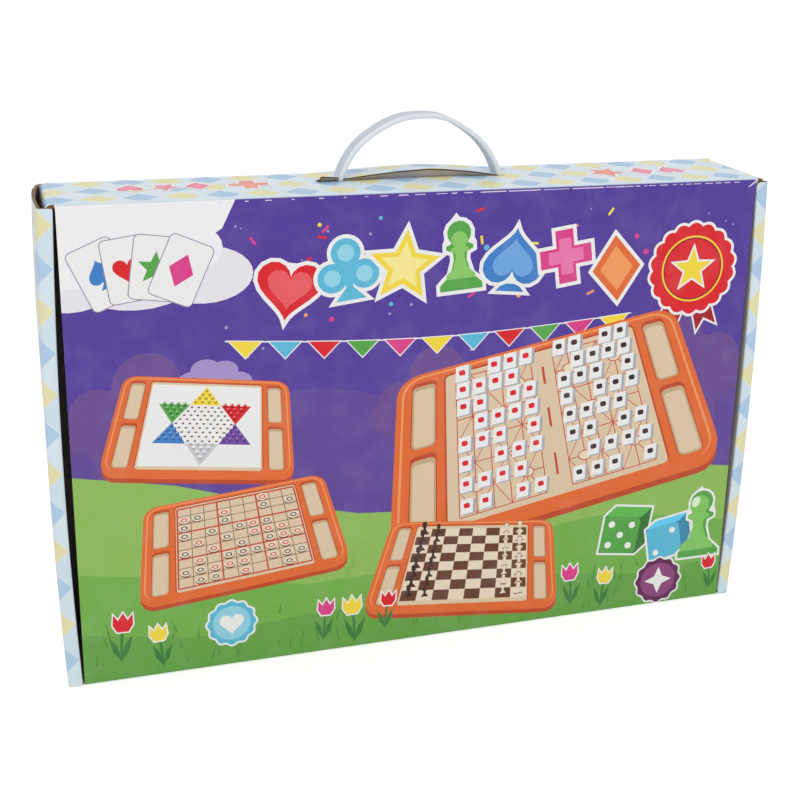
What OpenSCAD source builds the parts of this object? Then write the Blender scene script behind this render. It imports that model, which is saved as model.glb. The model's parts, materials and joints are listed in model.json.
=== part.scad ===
// Games compendium box: a roll-end carton with a hinged, tucked front and a strap handle,
// standing on its long edge, with the moulded game tray, boards and playing pieces inside.
// The front looks along -Y. The origin is the middle of the footprint, on the table.

/* [Carton] */
// Width of the carton at its corners
box_w = 400; // [380:1:430]
// Depth of the carton from front to back
box_d = 69; // [66:0.5:80]
// Height of the carton as it stands on its long edge
box_h = 265; // [262:1:290]
// Thickness of the corrugated board
board_t = 1.6; // [1.2:0.1:1.8]
// Width of each rolled side wall, seen from the front
wall_w = 7; // [6.4:0.1:8]
// How far the side walls bow outwards at mid-height
side_bow = 3; // [1:0.1:4]
// How far the outer side walls swell between their folds at the top
wall_swell = 2.4; // [0:0.1:3]
// Height at which that swelling starts
swell_from = 110; // [60:1:160]
// Length of the corner tabs that are tucked into the rolled walls
corner_tab_l = 34; // [20:1:50]
// Length of each locking tab of a rolled wall
lock_tab_l = 38; // [20:1:60]
// Distance between the two locking tabs of a rolled wall
lock_tab_pitch = 130; // [90:1:160]
// Radius of the bend where a narrow wall turns down into a rolled wall
bend_r = 3.2; // [2.4:0.1:4]
// Radius of a roll strip's free corners
strip_corner_r = 3; // [1:0.1:4]
// Clearance round a board edge inside the carton
board_gap = 0.3; // [0.2:0.1:0.5]

/* [Lid] */
// Gap between the lid and each rolled side wall
lid_gap = 1; // [0.6:0.1:2]
// Depth of the tuck flap behind the front face
flap_depth = 16; // [12:0.5:18]
// Clearance between the tuck flap and the top wall
flap_gap = 0.8; // [0.8:0.1:1.2]
// Radius of the tuck flap's corners
flap_corner_r = 9; // [4:0.5:10]
// How far the tuck flap stops short of the lid's ends
flap_inset = 5; // [2:0.5:12]

/* [Handle] */
// Outer radius of the handle's arch
arch_r = 50; // [44:0.5:56]
// Depth of the arch's centre below the carton's top face
arch_drop = 13.5; // [10:0.5:18]
// Sideways offset of the handle in its slit
handle_x = 3; // [0:0.5:4]
// Width of the strap from front to back
strap_w = 13; // [10:0.5:16]
// Thickness of the strap at its edge beads
strap_t = 2.8; // [2.4:0.1:3.2]
// Thickness of the strap between its edge beads
web_t = 1.6; // [1.2:0.1:2.2]
// Width of each edge bead
bead_w = 2.2; // [1.5:0.1:3]
// Width of the anchor at each end of the strap
anchor_w = 26; // [18:1:30]
// Height of each anchor
anchor_h = 5; // [3:0.5:7]
// Travel of the handle before its anchors meet the top wall
handle_travel = 6; // [3:0.5:7]
// Length of the slit in the top wall
slit_l = 106; // [104:1:120]
// Width of the slit
slit_w = 1; // [0.6:0.1:2]
// Distance of the slit behind the carton's middle
slit_y = 3; // [0:0.5:6]
// Rise of the top wall's raised part at the slit
bulge_front = 5.4; // [2:0.1:7]
// Rise of the top wall's raised part at the back fold
bulge_back = 2; // [0:0.1:4]

/* [Game tray] */
// Gap between the tray and each rolled side wall
tray_gap = 4; // [1:0.5:12]
// Free height above the tray, for the handle's anchors and their travel
head_room = 25.4; // [20:0.2:32]
// Depth of the moulding
tray_d = 37; // [36:0.5:40]
// Radius of the tray's outer corners
tray_r = 26; // [20:1:34]
// Width of the tray's outer frame and of the bars between its wells
bar_w = 8; // [7:0.5:10]
// Thickness of the tray's floors and ribs
floor_t = 2.4; // [1.6:0.1:3]
// Depth of the central recess
recess_d = 12; // [10:0.5:14]
// Radius of the corners of the recess and wells
well_r = 6; // [4:0.5:6]
// Radius of the finger notches beside the recess
notch_r = 10; // [7:0.5:12]
// Room left in a well at the end of a row of chessmen
well_room = 1.4; // [0.8:0.1:4]
// Radius of the bead on the tray's front edge
rim_r = 1.6; // [0.8:0.1:2.4]

/* [Boards] */
// Thickness of the large playing board under the tray
base_board_t = 3; // [2:0.1:3.4]
// Width of the tray's lip round the large board
lip_w = 6; // [4:0.5:6.5]
// How far the large board lies below the lip
lip_recess = 1.2; // [1:0.1:1.6]
// Thickness of each loose playing board
loose_board_t = 3; // [2:0.1:3.4]
// Clearance round a loose playing board
loose_gap = 1; // [0.5:0.1:2]
// Width of the star board's border, outside the star's last holes
star_border = 15.8; // [6:0.2:30]
// Radius of a peg hole
hole_r = 1.7; // [1.6:0.05:2]
// Depth of a peg hole
hole_depth = 2; // [1:0.1:2]

/* [Playing pieces] */
// Gap between neighbouring pieces as they are packed
pack_gap = 0.3; // [0.2:0.05:0.4]
// Radius of a chessman's base
chess_r = 6; // [5.5:0.1:6.1]
// Height of the tallest chessman
king_h = 34; // [30:0.5:34]
// Height of a pawn
pawn_h = 19; // [16:0.5:19]
// Number of river-game discs of each colour
river_count = 16; // [12:1:20]
// Radius of a river-game disc
disc_r = 8; // [7:0.1:8.2]
// Thickness of a river-game disc
disc_t = 6; // [4:0.1:6.4]
// Number of number discs
number_count = 81; // [40:1:90]
// Radius of a number disc
number_r = 6; // [5:0.1:6.2]
// Thickness of a number disc
number_t = 3; // [2:0.1:3.4]
// Number of army tiles of each colour
tile_count = 25; // [20:1:30]
// Length of an army tile
tile_l = 20; // [16:0.5:24]
// Width of an army tile
tile_w = 12; // [10:0.5:12.4]
// Thickness of an army tile
tile_t = 5; // [4:0.1:5.2]
// Number of pegs of each colour
peg_count = 10; // [6:1:10]
// Radius of a peg's head
peg_r = 4; // [3:0.1:4.1]
// Length of a peg
peg_l = 20; // [16:0.5:24]
// Radius of a peg's shank
shank_r = 1.5; // [1.2:0.05:1.5]

/* [Hidden] */
COLOURS = ["red", "yellow", "green", "blue", "white", "purple"];
$fn = 48;
arc_fn = 256; // the shallow bow and the handle's arch
eps = 0.01;

front = -box_d / 2;
back = box_d / 2;
// radius and centre of the side walls' bow
bow_r = (pow(box_h / 2, 2) + pow(side_bow, 2)) / (2 * side_bow);
bow_x = bow_r - side_bow - box_w / 2;
bow_angle = asin(box_h / 2 / bow_r) + 1;
function bow(z) = sqrt(pow(bow_r, 2) - pow(z - box_h / 2, 2)) - bow_r + side_bow;
function ease(t) = t <= 0 ? 0 : t >= 1 ? 1 : t * t * (3 - 2 * t);
// extra width of the outer wall, at a share of the way back and at a height
function swell(share, z) = wall_swell * ease((z - swell_from) / (box_h - swell_from)) * sin(180 * share);
function lock_z(i) = box_h / 2 + i * lock_tab_pitch / 2;

lid_w = box_w - 2 * (wall_w + lid_gap);
lid_top = box_h - board_t - flap_gap;
flat_end = box_w / 2 - board_t - board_gap - bend_r + bow(box_h - bend_r);
strap_y = slit_y + slit_w / 2 + strap_w / 2;
anchor_r = 1.2;
// inner and outer end of each slot for the strap, with the handle pushed down and pulled up
slot_x = [sqrt(pow(arch_r - strap_t, 2) - pow(arch_drop + handle_travel + bulge_front / 2, 2)) - board_gap,
    sqrt(pow(arch_r, 2) - pow(arch_drop - board_t, 2)) + board_gap];
arch_z = box_h - arch_drop;
anchor_z = box_h - board_t - board_gap - anchor_h;

tray_w = box_w - 2 * (wall_w + tray_gap);
tray_h = box_h - board_t - head_room;
tray_z = board_t;
tray_mid = tray_z + tray_h / 2;
tray_back = back - board_t;
tray_front = tray_back - tray_d;
rebate = base_board_t + lip_recess;
notch_wall = notch_r + bar_w / 2; // outer radius of the wall round a finger notch
chess_u = notch_wall - bar_w + pack_gap; // where a row of chessmen starts, clear of that wall
well_w = chess_u + king_h + pack_gap + pawn_h + well_room;
well_h = (tray_h - 3 * bar_w) / 2;
recess_w = tray_w - 2 * (well_w + 2 * bar_w);
recess_h = tray_h - 2 * bar_w;
well_floor = tray_back - rebate - floor_t;
recess_floor = tray_front + recess_d;
rivet_r = 1.5;
rivet_head_r = 3;
rivet_l = 8;
rivet_gap = 0.05;
rivet_end = 13; // distance of the last rivet from the recess's end
rivet_pitch = (recess_h - 2 * rivet_end) / 3;
rivet_points = [for (x = [-1, 1], z = [-1.5, -0.5, 0.5, 1.5])
    [x * (recess_w + bar_w) / 2, tray_mid + z * rivet_pitch]];
star_reach = 8; // rows of holes from the star's middle to a point
hole_pitch = (recess_h / 2 - loose_gap - star_border) / (star_reach * sin(60));

// ---- shared shapes ----

// Extrudes a shape drawn in X and Z from y0 to y1
module along_y(y0, y1)
    translate([0, y1, 0]) rotate([90, 0, 0]) linear_extrude(y1 - y0) children();

// Extrudes a shape drawn in Y and Z from x0 to x1
module along_x(x0, x1)
    translate([x0, 0, 0]) rotate([90, 0, 90]) linear_extrude(x1 - x0) children();

module rounded_rect(w, h, r) {
    square([w - 2 * r, h], center = true);
    square([w, h - 2 * r], center = true);
    for (x = [-1, 1], y = [-1, 1]) translate([x * (w / 2 - r), y * (h / 2 - r)]) circle(r);
}

// The carton's outline from the front, moved inwards by inset
module outline(inset)
    intersection() {
        translate([bow_x, box_h / 2]) circle(bow_r - inset, $fn = arc_fn);
        translate([-bow_x, box_h / 2]) circle(bow_r - inset, $fn = arc_fn);
        translate([-box_w, 0]) square([2 * box_w, box_h]);
    }

// The left part of a band of the outline, between two insets and two heights
module left_band(inset0, inset1, z0, z1)
    intersection() {
        difference() {
            outline(inset0);
            outline(inset1);
        }
        translate([-box_w, z0]) square([box_w - wall_w, z1 - z0]);
    }

// Sweeps a profile along the left wall's bow, drawn as distance outwards from the carton's
// middle line at inset from the outline, and distance forwards from y
module along_bow(inset, y)
    intersection() {
        translate([bow_x, y, box_h / 2]) rotate([90, 0, 0]) rotate([0, 0, 180 - bow_angle])
            rotate_extrude(angle = 2 * bow_angle, $fn = arc_fn) translate([bow_r - inset, 0]) children();
        translate([-box_w, -box_d, 0]) cube([box_w, 2 * box_d, box_h]);
    }

// ---- carton ----

module back_panel()
    color("lightsteelblue") difference() {
        union() {
            along_y(back - board_t, back) outline(board_t);
            for (m = [0, 1]) mirror([m, 0, 0]) along_bow(board_t, back - board_t) intersection() {
                circle(board_t, $fn = 48);
                translate([0, -board_t]) square(board_t);
            }
            along_y(back - board_t, back) bulge_profile(bulge_back);
        }
        for (m = [0, 1], i = [-1, 1]) mirror([m, 0, 0])
            along_y(back - board_t - eps, back + eps)
                left_band(wall_w - board_t - board_gap, wall_w + board_gap,
                    lock_z(i) - lock_tab_l / 2 - board_gap, lock_z(i) + lock_tab_l / 2 + board_gap);
    }

module bottom_wall()
    color("tan") translate([-flat_end, front + board_t + board_gap / 2, 0])
        cube([2 * flat_end, box_d - 2 * board_t - board_gap / 2, board_t]);

// The raised part's section: a shallow arch that stands on the top face
module bulge_profile(rise) {
    steps = 16;
    polygon([for (i = [0:steps])
        let (u = 2 * i / steps - 1) [u * slit_l / 2, box_h + rise * (1 - u * u) + (rise > 0 ? 0 : eps)]]);
}

// The arch from the slit to the back fold, moved down by drop
module bulge_solid(drop)
    translate([0, 0, -drop]) hull() {
        along_y(slit_y + slit_w / 2, slit_y + slit_w / 2 + eps) arch_slice(bulge_front);
        along_y(back - board_t - eps, back - board_t) arch_slice(bulge_back);
    }

module arch_slice(rise) {
    bulge_profile(rise);
    translate([-slit_l / 2 - eps, box_h - board_t]) square([slit_l + 2 * eps, board_t]);
}

module top_wall()
    color("lightblue") difference() {
        union() {
            difference() {
                union() {
                    translate([-flat_end, front + board_t + board_gap, box_h - board_t])
                        cube([2 * flat_end, box_d - 2 * board_t - board_gap, board_t]);
                    translate([-lid_w / 2, front + board_gap, box_h - board_t])
                        cube([lid_w, 2 * board_t, board_t]);
                }
                translate([-slit_l / 2, slit_y - slit_w / 2, box_h - board_t - 1])
                    cube([slit_l, back - slit_y, board_t + 2]);
            }
            difference() {
                bulge_solid(0);
                bulge_solid(board_t);
            }
        }
        for (side = [-1, 1])
            translate([side > 0 ? handle_x + slot_x[0] : handle_x - slot_x[1],
                    slit_y - slit_w / 2, box_h - 2 * board_t])
                cube([slot_x[1] - slot_x[0], strap_w + slit_w + 2 * board_gap, 4 * board_t + bulge_front]);
    }

// The outer side of the left rolled wall: a sheet that is held straight at its two folds, bows
// with the carton and swells between the folds towards its open top end
module outer_wall() {
    rows = 16;
    columns = 12;
    y0 = front + board_t;
    y1 = back - board_t;
    function point(i, j, inset) =
        let (share = i / columns, z = box_h * j / rows)
            [-box_w / 2 - bow(z) - swell(share, z) + inset, y0 + (y1 - y0) * share, z];
    function at(i, j, inner) = (inner * (rows + 1) + j) * (columns + 1) + i;
    function halves(a, b, c, d) = [[a, b, c], [a, c, d]];
    faces = [
        for (j = [0:rows - 1], i = [0:columns - 1]) each concat(
            halves(at(i, j, 0), at(i + 1, j, 0), at(i + 1, j + 1, 0), at(i, j + 1, 0)),
            halves(at(i, j + 1, 1), at(i + 1, j + 1, 1), at(i + 1, j, 1), at(i, j, 1))),
        for (i = [0:columns - 1]) each concat(
            halves(at(i, 0, 1), at(i + 1, 0, 1), at(i + 1, 0, 0), at(i, 0, 0)),
            halves(at(i, rows, 0), at(i + 1, rows, 0), at(i + 1, rows, 1), at(i, rows, 1))),
        for (j = [0:rows - 1]) each concat(
            halves(at(0, j, 0), at(0, j + 1, 0), at(0, j + 1, 1), at(0, j, 1)),
            halves(at(columns, j, 1), at(columns, j + 1, 1), at(columns, j + 1, 0), at(columns, j, 0)))
    ];
    polyhedron([for (k = [0, 1], j = [0:rows], i = [0:columns]) point(i, j, k * board_t)], faces);
}

// The narrow front face of a rolled wall, rounded at both folds
module roll_strip()
    difference() {
        along_bow(wall_w / 2, front + board_t) intersection() {
            rounded_rect(wall_w, 2 * board_t, board_t - eps);
            translate([-wall_w, 0]) square([2 * wall_w, board_t]);
        }
        for (end = [0, 1])
            translate([-box_w / 2 + wall_w, 0, end * box_h]) mirror([0, 0, end])
                along_y(front - 1, front + board_t + 1) difference() {
                    translate([-strip_corner_r, -eps]) square(2 * strip_corner_r);
                    translate([-strip_corner_r, strip_corner_r]) circle(strip_corner_r);
                }
    }

module inner_wall() {
    along_y(front + board_t, back - board_t)
        left_band(wall_w - board_t, wall_w, board_t + board_gap, box_h - board_t - board_gap);
    for (i = [-1, 1])
        along_y(back - board_t - eps, back)
            left_band(wall_w - board_t, wall_w, lock_z(i) - lock_tab_l / 2, lock_z(i) + lock_tab_l / 2);
}

// The end of a narrow wall, bent down into the left rolled wall
module top_tab() {
    along_y(front + board_t + board_gap, back - board_t - board_gap) {
        intersection() {
            translate([-flat_end, box_h - bend_r]) difference() {
                circle(bend_r);
                circle(bend_r - board_t);
            }
            translate([-flat_end - bend_r, box_h - bend_r]) square(bend_r);
        }
        left_band(board_t + board_gap, 2 * board_t + board_gap, box_h - corner_tab_l, box_h - bend_r);
    }
}

module bottom_tab() translate([0, 0, box_h]) mirror([0, 0, 1]) top_tab();

// ---- lid ----

module lid_panel()
    color("mediumpurple") along_x(-lid_w / 2, lid_w / 2) {
        translate([front, board_t]) square([board_t, lid_top - 2 * board_t]);
        for (z = [board_t, lid_top - board_t])
            intersection() {
                translate([front + board_t, z]) circle(board_t);
                translate([front, z == board_t ? 0 : z]) square(board_t);
            }
    }

module tuck_flap() {
    depth = flap_depth - board_t;
    crease = board_gap / 3;
    color("burlywood") translate([0, front + board_t, lid_top - board_t]) linear_extrude(board_t)
        intersection() {
            rounded_rect(lid_w - 2 * flap_inset, 2 * depth, flap_corner_r);
            translate([-lid_w / 2, crease]) square([lid_w, depth]);
        }
}

// ---- handle ----

// A ring of the arch above the anchors' underside, over part of the strap's width
module arch_band(r0, r1, y0, y1)
    intersection() {
        along_y(strap_y + y0, strap_y + y1) translate([handle_x, arch_z]) difference() {
            circle(r1, $fn = arc_fn);
            circle(r0, $fn = arc_fn);
        }
        translate([-box_w / 2, -box_d, anchor_z]) cube([box_w, 2 * box_d, 2 * arch_r]);
    }

module handle_strap() {
    web_in = (strap_t - web_t) / 2;
    leg_x = sqrt(pow(arch_r - strap_t / 2, 2) - pow(arch_drop - board_t - anchor_h / 2, 2));
    color("gainsboro") {
        arch_band(arch_r - web_in - web_t, arch_r - web_in, -strap_w / 2, strap_w / 2);
        arch_band(arch_r - strap_t, arch_r, -strap_w / 2, bead_w - strap_w / 2);
        arch_band(arch_r - strap_t, arch_r, strap_w / 2 - bead_w, strap_w / 2);
        for (side = [-1, 1])
            along_x(handle_x + side * leg_x - strap_t / 2, handle_x + side * leg_x + strap_t / 2)
                translate([strap_y, anchor_z + anchor_h / 2]) rounded_rect(anchor_w, anchor_h, anchor_r);
    }
}

// ---- game tray ----

// Places a shape drawn round a well's middle in each of the four wells
module at_wells()
    for (x = [-1, 1], z = [-1, 1])
        translate([x * (recess_w / 2 + bar_w + well_w / 2), tray_mid + z * (well_h + bar_w) / 2])
            children();

// The bead on the tray's front edge: four turned corners and four straight runs
module rim_bead() {
    w = tray_w - 2 * rim_r;
    h = tray_h - 2 * rim_r;
    r = tray_r - rim_r;
    translate([0, tray_front + rim_r, tray_mid]) rotate([90, 0, 0]) {
        for (q = [0:3]) {
            sx = q == 0 || q == 3 ? 1 : -1;
            sy = q < 2 ? 1 : -1;
            translate([sx * (w / 2 - r), sy * (h / 2 - r), 0]) rotate([0, 0, q * 90])
                rotate_extrude(angle = 90) translate([r, 0]) circle(rim_r, $fn = 24);
        }
        for (side = [-1, 1]) {
            translate([-w / 2 + r, side * h / 2, 0]) rotate([0, 90, 0]) cylinder(w - 2 * r, r = rim_r, $fn = 24);
            translate([side * w / 2, -h / 2 + r, 0]) rotate([-90, 0, 0]) cylinder(h - 2 * r, r = rim_r, $fn = 24);
        }
    }
}

module game_tray()
    color("darkorange") difference() {
        union() {
            along_y(tray_front + rim_r, tray_back) translate([0, tray_mid]) rounded_rect(tray_w, tray_h, tray_r);
            along_y(tray_front, tray_front + 2 * rim_r) translate([0, tray_mid])
                rounded_rect(tray_w - 2 * rim_r, tray_h - 2 * rim_r, tray_r - rim_r);
            rim_bead();
        }
        // four side wells
        along_y(tray_front - 1, well_floor) difference() {
            at_wells() rounded_rect(well_w, well_h, well_r);
            for (side = [-1, 1]) translate([side * (recess_w / 2), tray_mid]) circle(notch_wall);
        }
        // central recess with a finger notch at each side
        along_y(tray_front - 1, recess_floor) {
            translate([0, tray_mid]) rounded_rect(recess_w, recess_h, well_r);
            for (side = [-1, 1]) translate([side * (recess_w / 2), tray_mid]) circle(notch_r);
        }
        // hollow under the recess, left with two crossing ribs
        along_y(recess_floor + floor_t, tray_back - rebate + eps)
            for (x = [-1, 1], z = [-1, 1])
                translate([x * (recess_w + floor_t) / 4, tray_mid + z * (recess_h + floor_t) / 4])
                    rounded_rect((recess_w - floor_t) / 2 - floor_t, (recess_h - floor_t) / 2 - floor_t, well_r);
        // rebate for the large board
        along_y(tray_back - rebate, tray_back + 1) translate([0, tray_mid])
            rounded_rect(tray_w - 2 * lip_w, tray_h - 2 * lip_w, tray_r - lip_w);
        for (p = rivet_points) translate([p[0], tray_back - rebate + 1, p[1]]) rotate([90, 0, 0])
            cylinder(rivet_l + 1, r = rivet_r + rivet_gap);
    }

module tray_bottom_board()
    color("burlywood") difference() {
        along_y(tray_back - rebate, tray_back - lip_recess) translate([0, tray_mid])
            rounded_rect(tray_w - 2 * lip_w - 2 * board_gap, tray_h - 2 * lip_w - 2 * board_gap,
                tray_r - lip_w - board_gap);
        for (p = rivet_points) translate([p[0], tray_back, p[1]]) rotate([90, 0, 0])
            cylinder(rebate + 1, r = rivet_r + rivet_gap);
    }

module tray_rivets() {
    head_t = lip_recess - 0.2;
    color("white") for (p = rivet_points)
        translate([p[0], tray_back - lip_recess, p[1]]) rotate([90, 0, 0]) {
            cylinder(base_board_t + rivet_l - 1, r = rivet_r);
            rotate([180, 0, 0]) rotate_extrude()
                polygon([[0, 0], [rivet_head_r, 0], [rivet_head_r, head_t * 0.4], [rivet_head_r * 0.7, head_t * 0.85],
                    [rivet_head_r * 0.35, head_t], [0, head_t]]);
        }
}

// ---- loose boards ----

module loose_board(layer)
    along_y(recess_floor - (layer + 1) * loose_board_t, recess_floor - layer * loose_board_t)
        translate([0, tray_mid - loose_gap + board_gap / 3])
            rounded_rect(recess_w - 2 * loose_gap, recess_h - 2 * loose_gap, well_r - loose_gap);

module chess_board() color("wheat") loose_board(0);

// The 121 holes of the six-pointed star: two large triangles laid over each other
module star_holes() {
    point = star_reach / 2;
    for (q = [-star_reach:star_reach], r = [-star_reach:star_reach]) {
        s = -q - r;
        if (max(q, r, s) <= point || min(q, r, s) >= -point)
            translate([hole_pitch * (q + r / 2), hole_pitch * r * sin(60)]) circle(hole_r, $fn = 24);
    }
}

module peg_board()
    color("wheat") difference() {
        loose_board(1);
        along_y(recess_floor - 2 * loose_board_t - 1, recess_floor - 2 * loose_board_t + hole_depth)
            translate([0, tray_mid]) star_holes();
    }

// ---- playing pieces ----

// The lower inner corner of a well, as drawn from the recess outwards
function well_x(side) = side * (recess_w / 2 + bar_w);
function well_z(row) = tray_z + bar_w + row * (well_h + bar_w);

// Puts a piece into a well: u runs outwards from the recess, v forwards from the floor, w up
module in_well(side, row, u, v, w)
    translate([well_x(side) + side * u, well_floor - v, well_z(row) + w]) children();

module turned(points) rotate_extrude($fn = 32) polygon(points);

// Collar, stem and foot that all chessmen share, up to the height of the neck
function foot(r, neck) = [[0, 0], [r, 0], [r, 1.6], [r * 0.82, 2.6], [r * 0.82, 3.4], [r * 0.5, 5],
    [r * 0.36, neck - 3], [r * 0.42, neck - 2], [r * 0.66, neck - 1.4], [r * 0.66, neck - 0.7], [r * 0.4, neck]];

module pawn() {
    ball = chess_r * 0.54;
    neck = pawn_h - 2 * ball + 1;
    turned(concat(foot(chess_r, neck), [[0, neck]]));
    translate([0, 0, pawn_h - ball]) sphere(ball);
}

module rook() {
    h = king_h * 0.72;
    difference() {
        turned(concat(foot(chess_r, h - 6), [[chess_r * 0.62, h - 4.6], [chess_r * 0.62, h], [0, h]]));
        translate([0, 0, h - 2]) cylinder(3, r = chess_r * 0.38);
        for (a = [0:60:179]) rotate([0, 0, a]) translate([-chess_r, -0.6, h - 1.6]) cube([2 * chess_r, 1.2, 2]);
    }
}

module knight() {
    h = king_h * 0.8;
    neck = h * 0.42;
    turned(concat(foot(chess_r, neck), [[0, neck]]));
    translate([0, 2, 0]) rotate([90, 0, 0]) linear_extrude(4)
        polygon([[-2.4, neck - 1], [2.2, neck - 1], [3.6, neck + 4], [3.8, h - 6], [2.4, h - 2], [1.2, h],
            [0.4, h - 1.6], [-1.4, h - 2.6], [-4.4, h - 7.4], [-4.2, h - 9], [-2.6, h - 8.6], [-0.6, h - 7.4],
            [-0.8, h - 9.6]]);
}

module bishop() {
    h = king_h * 0.86;
    neck = h * 0.62;
    difference() {
        turned(concat(foot(chess_r, neck), [for (i = [0:8]) let (u = i / 8)
            [chess_r * (0.4 + 0.16 * sin(180 * u)) * sqrt(1 - pow(u, 4)), neck + (h - neck - 1) * u]]));
        translate([0.6, -chess_r, h - 6]) rotate([0, 35, 0]) cube([0.8, 2 * chess_r, 6]);
    }
    translate([0, 0, h - 1.4]) sphere(1.4, $fn = 24);
}

module queen() {
    h = king_h * 0.94;
    difference() {
        turned(concat(foot(chess_r, h - 9), [[chess_r * 0.42, h - 8], [chess_r * 0.68, h - 2.6], [0, h - 2.6]]));
        for (a = [0:45:359]) rotate([0, 0, a]) translate([chess_r * 0.72, 0, h - 2]) sphere(1.2, $fn = 24);
    }
    translate([0, 0, h - 2.2]) sphere(2.2, $fn = 24);
}

module king() {
    turned(concat(foot(chess_r, king_h - 11), [[chess_r * 0.44, king_h - 10], [chess_r * 0.64, king_h - 5],
        [chess_r * 0.3, king_h - 4], [0, king_h - 4]]));
    translate([-0.7, -0.7, king_h - 4.4]) cube([1.4, 1.4, 4.4]);
    translate([-1.9, -0.7, king_h - 2.8]) cube([3.8, 1.4, 1.4]);
}

// One side's sixteen chessmen, in rows of one large piece and one pawn, lying on their sides
module chess_set(layer) {
    pitch = 2 * chess_r + pack_gap;
    rows = min(8, floor((well_h - pack_gap) / pitch));
    for (i = [0:rows - 1])
        in_well(-1, 1, chess_u, pack_gap + chess_r + layer * pitch, pack_gap + chess_r + i * pitch) {
            rotate([0, -90, 0]) chessman(i);
            translate([-king_h - pack_gap, 0, 0]) rotate([0, -90, 0]) pawn();
        }
}

module chessman(i)
    if (i == 0 || i == 7) rook();
    else if (i == 1 || i == 6) knight();
    else if (i == 2 || i == 5) bishop();
    else if (i == 3) queen();
    else king();

module disc(r, t)
    difference() {
        cylinder(t, r = r);
        translate([0, 0, t - 0.4]) difference() {
            cylinder(1, r = r * 0.82);
            translate([0, 0, -1]) cylinder(3, r = r * 0.72);
        }
    }

// Discs stacked on a well's lower wall: numbers first to last of all, in columns of equal height
module disc_stacks(first, last, all, r, t, v) {
    columns = floor((well_w - 2 * well_r + pack_gap) / (2 * r + pack_gap));
    high = min(ceil(all / columns), floor(well_h / (t + pack_gap / 3)));
    for (k = [first:min(last, columns * high - 1)])
        in_well(1, 1, well_r + r + floor(k / high) * (2 * r + pack_gap), v,
                pack_gap / 3 + (k % high) * (t + pack_gap / 3))
            disc(r, t);
}

module river_discs(first)
    disc_stacks(first, first + river_count - 1, 2 * river_count, disc_r, disc_t, disc_r + pack_gap);

module number_discs()
    color("wheat") disc_stacks(0, number_count - 1, number_count, number_r, number_t,
        2 * disc_r + number_r + 2 * pack_gap);

module army_tile()
    along_y(-tile_l, 0) translate([tile_t / 2, tile_w / 2]) rounded_rect(tile_t, tile_w, 1);

module army_tiles(first) {
    per_row = floor((well_w - 2 * well_r) / (tile_t + pack_gap));
    rows = floor(well_h / (tile_w + pack_gap / 3));
    for (k = [first:min(first + tile_count, per_row * rows) - 1])
        in_well(-1, 0, 0, pack_gap, pack_gap / 3 + floor(k / per_row) * (tile_w + pack_gap / 3))
            translate([-well_r - tile_t - (k % per_row) * (tile_t + pack_gap), 0, 0]) army_tile();
}

// A turned peg: tapered head, shoulder and shank, with its tip at the origin
module peg() {
    shank = peg_l * 0.4;
    turned([[0, 0], [shank_r * 0.7, 0], [shank_r, 0.8], [shank_r, shank], [peg_r * 0.9, shank], [peg_r, shank + 1],
        [peg_r * 0.92, peg_l - 5], [peg_r * 0.72, peg_l - 2], [peg_r * 0.4, peg_l - 0.4], [0, peg_l]]);
}

module pegs(first) {
    inset = well_r - (well_r - peg_r - 0.1) / sqrt(2);
    pitch = 2 * peg_r + pack_gap;
    per_row = floor((well_w - 2 * inset + pack_gap) / pitch);
    rows = floor((well_h - 2 * inset + pack_gap) / pitch);
    for (k = [first:min(first + peg_count, per_row * rows) - 1])
        in_well(1, 0, inset + (k % per_row) * pitch, pack_gap, inset + floor(k / per_row) * pitch)
            rotate([90, 0, 0]) peg();
}

back_panel();
bottom_wall();
top_wall();
color("lightblue") outer_wall();  // left_outer_wall
color("lightblue") roll_strip();  // left_roll_strip
color("lightblue") inner_wall();  // left_inner_wall
color("lightblue") mirror([1, 0, 0]) outer_wall();  // right_outer_wall
color("lightblue") mirror([1, 0, 0]) roll_strip();  // right_roll_strip
color("lightblue") mirror([1, 0, 0]) inner_wall();  // right_inner_wall
color("tan") top_tab();  // left_top_tab
color("tan") mirror([1, 0, 0]) top_tab();  // right_top_tab
color("tan") bottom_tab();  // left_bottom_tab
color("tan") mirror([1, 0, 0]) bottom_tab();  // right_bottom_tab
lid_panel();
tuck_flap();
handle_strap();
game_tray();
tray_bottom_board();
tray_rivets();
chess_board();
peg_board();
color("sienna") chess_set(0);  // chessmen_dark
color("ivory") chess_set(1);  // chessmen_light
color("tomato") river_discs(0);  // river_discs_red
color("dimgray") river_discs(river_count);  // river_discs_black
number_discs();
color("white") army_tiles(0);  // army_tiles_red
color("white") army_tiles(tile_count);  // army_tiles_black
for (i = [0:len(COLOURS) - 1])
    color(COLOURS[i]) pegs(i * peg_count);
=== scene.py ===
import json
import random
from math import asin, atan2, cos, degrees, pi, radians, sin, sqrt

import bpy
from mathutils import Euler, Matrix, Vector
from mathutils.geometry import delaunay_2d_cdt

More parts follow.
